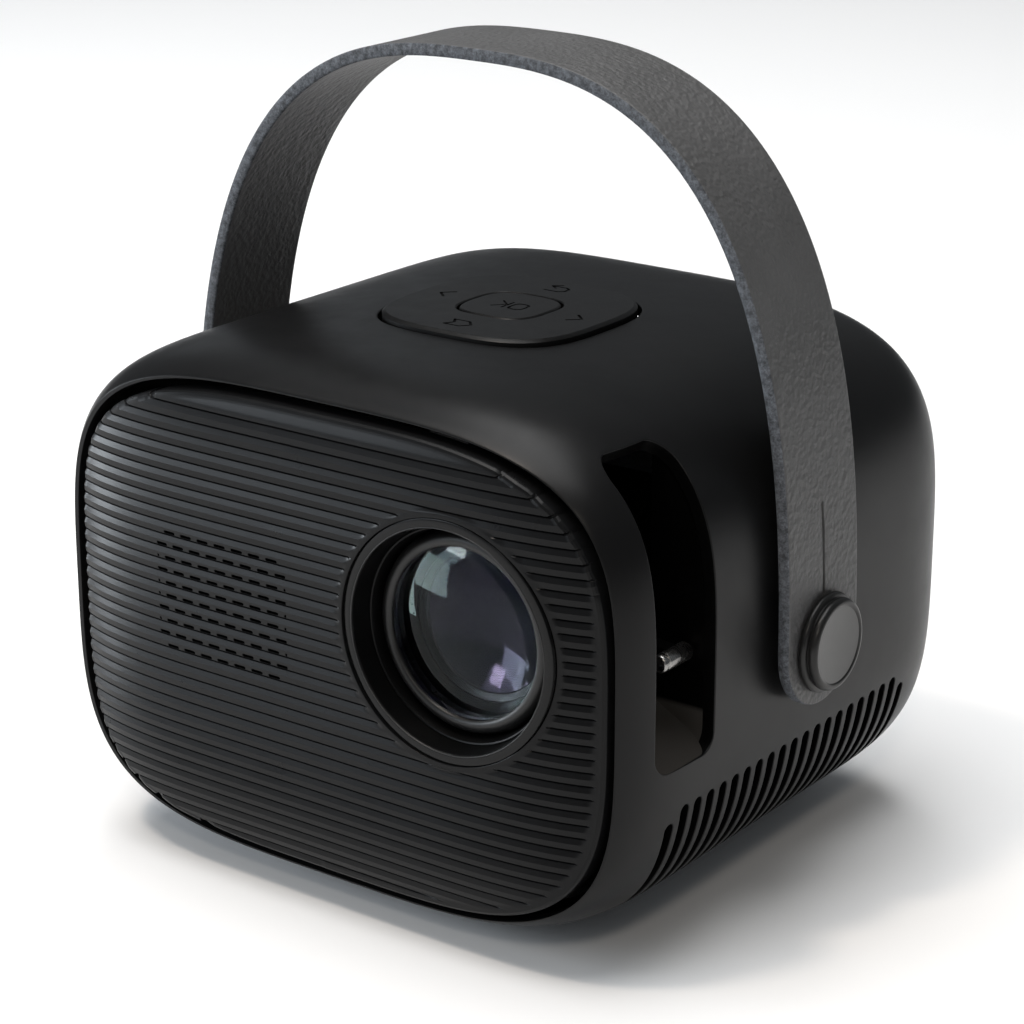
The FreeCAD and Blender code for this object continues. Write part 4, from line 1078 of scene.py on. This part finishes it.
def build_ok_button():
    lines = grid_lines((-9, -4, 0.4), (-4, 4, 0.11), (4, 9, 0.4))
    rims = [chamfer_rim(OK_CHAMFER, 0.32, 3.4), rounded_rim(0.04, 0.26, 1, 0)]
    button = patch("centre_button", lines, lines, ok_point, ok_keep, rims)
    half, height = 5.5, PAD_TOP_Z - 0.24
    corners = [(-half, -half, height), (half, -half, height), (half, half, height), (-half, half, height)]
    mark_floor("button_mark_floor", corners, [[0, 1, 2, 3]], "centre_key")
    button.data.materials.append(PAD)
    button.data.materials.append(MARK)
    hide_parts("ok_button")
    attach(button, "centre_key")


# ---------------- materials of the CAD nodes that stay
def paint_nodes():
    grey = plastic("inner_grey", (0.05, 0.05, 0.052), (0.065, 0.065, 0.068), 0.5)
    rubber = plastic("rubber_black", (0.012, 0.012, 0.012), (0.02, 0.02, 0.02), 0.75, grain=0.00004)
    steel = metal("steel", (0.42, 0.42, 0.43), (0.6, 0.6, 0.61), 0.3, (1, 1, 12))
    brass = metal("brass", (0.5, 0.36, 0.14), (0.66, 0.49, 0.2), 0.28)
    alloy = metal("heat_sink_alloy", (0.12, 0.12, 0.125), (0.17, 0.17, 0.175), 0.45, (12, 1, 1))
    board = plastic("board_green", (0.012, 0.07, 0.03), (0.02, 0.11, 0.05), 0.35, coat=0.4)
    chip = plastic("chip_black", (0.01, 0.01, 0.01), (0.016, 0.016, 0.016), 0.55)
    white = plastic("lamp_white", (0.62, 0.62, 0.58), (0.72, 0.72, 0.68), 0.4)
    sensor = plastic("sensor_red", (0.010, 0.002, 0.0025), (0.016, 0.003, 0.004), 0.12, coat=0.6)
    cone = plastic("paper_cone", (0.015, 0.015, 0.015), (0.03, 0.03, 0.03), 0.85, grain=0.0001)
    clear = lens_glass("clear_plate", (0.9, 0.94, 0.97), (1, 1, 1), 1.3)
    panes = lens_glass("display_glass", (0.1, 0.12, 0.16), (1, 1, 1), 1.3)
    # Parts of the gloss_black slot take the painted-shade black.
    by_slot = {"inner_grey": grey, "rubber_black": rubber, "steel": steel, "brass": brass, "aluminium": alloy,
               "board_green": board, "chip_black": chip, "lamp_white": white, "sensor_red": sensor,
               "paper_cone": cone, "clear_plate": clear, "display_glass": panes, "shell_black": SHELL,
               "panel_black": PANEL, "gloss_black": PAINTED_SHADE, "pad_black": PAD, "knob_black": KNOB,
               "anodised_black": FUNNEL, "lens_glass": clear, "leather_dark": STRAP_SKIN}
    for part in frame["record"]["subparts"]:
        paint(part["node"], by_slot[part["material_slot"]])
    # These inner parts are painted shade black.
    for node in ("focus_ring", "focus_arm", "lens_guide", "guide_clip", "vent_screens"):
        paint(node, PAINTED_SHADE)
    paint("focus_window_liner", painted_liner("liner_painted_shade_and_light"))
    for node in frame["nodes"].values():
        node.data.polygons.foreach_set("use_smooth", [True] * len(node.data.polygons))


# ---------------- stage, light and camera
def aim(thing, target):
    direction = Vector(target) - thing.location
    thing.rotation_euler = direction.to_track_quat("-Z", "Y").to_euler()


def area_light(name, place, target, size, power, colour=(1, 1, 1)):
    data = bpy.data.lights.new(name, "AREA")
    data.shape = "RECTANGLE"
    data.size, data.size_y = size
    data.energy = power
    data.color = colour
    light = bpy.data.objects.new(name, data)
    light.location = place
    bpy.context.scene.collection.objects.link(light)
    aim(light, target)
    return light


def build_floor():
    mesh = bpy.data.meshes.new("studio_floor")
    reach = 14.0
    corners = [(-reach, -reach, 0), (reach, -reach, 0), (reach, reach, 0), (-reach, reach, 0)]
    mesh.from_pydata(corners, [], [[0, 1, 2, 3]])
    floor = bpy.data.objects.new("studio_floor", mesh)
    bpy.context.scene.collection.objects.link(floor)
    material, tree, shader, place = new_material("floor_pale")
    tone = mixed(tree, noise(tree, place, 3), (0.92, 0.92, 0.92), (0.94, 0.94, 0.94))
    tree.links.new(tone, shader.inputs["Base Color"])
    shader.inputs["Roughness"].default_value = 0.9
    shader.inputs["Specular IOR Level"].default_value = 0.1
    mesh.materials.append(material)


def build_sky():
    """A soft sky that brightens upwards."""
    world = bpy.data.worlds.new("studio")
    world.use_nodes = True
    bpy.context.scene.world = world
    tree = world.node_tree
    sky = tree.nodes["Background"]
    where = tree.nodes.new("ShaderNodeTexCoord")
    split = tree.nodes.new("ShaderNodeSeparateXYZ")
    tree.links.new(where.outputs["Generated"], split.inputs[0])
    ramp = tree.nodes.new("ShaderNodeMapRange")
    ramp.inputs["From Min"].default_value = 0.0
    ramp.inputs["From Max"].default_value = 0.5
    ramp.inputs["To Min"].default_value = 0.09
    ramp.inputs["To Max"].default_value = 0.22
    tree.links.new(split.outputs["Z"], ramp.inputs["Value"])
    tree.links.new(ramp.outputs[0], sky.inputs["Strength"])
    sky.inputs["Color"].default_value = (0.9, 0.95, 1, 1)
    bpy.context.scene.view_settings.view_transform = "Standard"


def build_lights():
    """Studio lights, in metres and watts; the last three light only the lens."""
    middle = (0, 0, 0.06)
    area_light("overhead", (-0.1, -0.1, 1.7), middle, (1.3, 1.3), 24.5)
    area_light("back_wash", (-0.7, 0.9, 1.9), (-0.7, 0.9, 0.0), (0.8, 0.8), 8.0)
    area_light("front_left", (-0.93, -0.88, 0.42), middle, (0.85, 0.36), 5.2, (0.84, 0.92, 1.0))
    area_light("left_edge", (-1.08, -0.5, 0.24), middle, (0.3, 0.3), 6.0, (0.88, 0.94, 1.0))
    area_light("warm_right", (0.55, -0.75, 0.75), middle, (0.12, 0.12), 1.3, (1.0, 0.9, 0.78))
    area_light("warm_top", (-0.21, -0.47, 1.2), (0.05, -0.06, 0.1), (0.12, 0.12), 3.4, (1.0, 0.86, 0.72))
    area_light("rear_left", (-0.85, 0.75, 0.42), middle, (0.4, 0.3), 0.08, (0.88, 0.94, 1.0))
    lens = (0.022, -0.058, 0.071)
    panes = [
        area_light("pane_upper", (-0.104, -0.17, 0.064), lens, (0.058, 0.04), 0.13, (0.8, 0.96, 0.95)),
        area_light("pane_lower", (-0.132, -0.13, 0.03), lens, (0.036, 0.04), 0.08, (0.76, 0.96, 0.95)),
        area_light("lens_spark", (-0.73, -1.0, 0.3), lens, (0.2, 0.2), 7.0)]
    for light in panes:
        light.light_linking.receiver_collection = GLASS


def build_camera():
    data = bpy.data.cameras.new("photo_camera")
    data.lens = 102.56
    data.sensor_width = 36
    data.clip_start = 0.01
    camera = bpy.data.objects.new("photo_camera", data)
    bpy.context.scene.collection.objects.link(camera)
    target = Vector((-4.15, 6.2, 62.39)) * MM
    distance = 597.5 * MM
    turn, rise = math.radians(36.54), math.radians(19.02)
    away = Vector((math.sin(turn) * math.cos(rise), -math.cos(turn) * math.cos(rise), math.sin(rise)))
    camera.location = target + away * distance
    aim(camera, target)
    bpy.context.scene.camera = camera


paint_nodes()
build_shell()
build_front_panel()
build_rear_panel()
build_lens()
build_glass()
build_pin()
build_strap()
build_knobs()
build_pad()
build_ok_button()
build_floor()
build_sky()
build_lights()
build_camera()
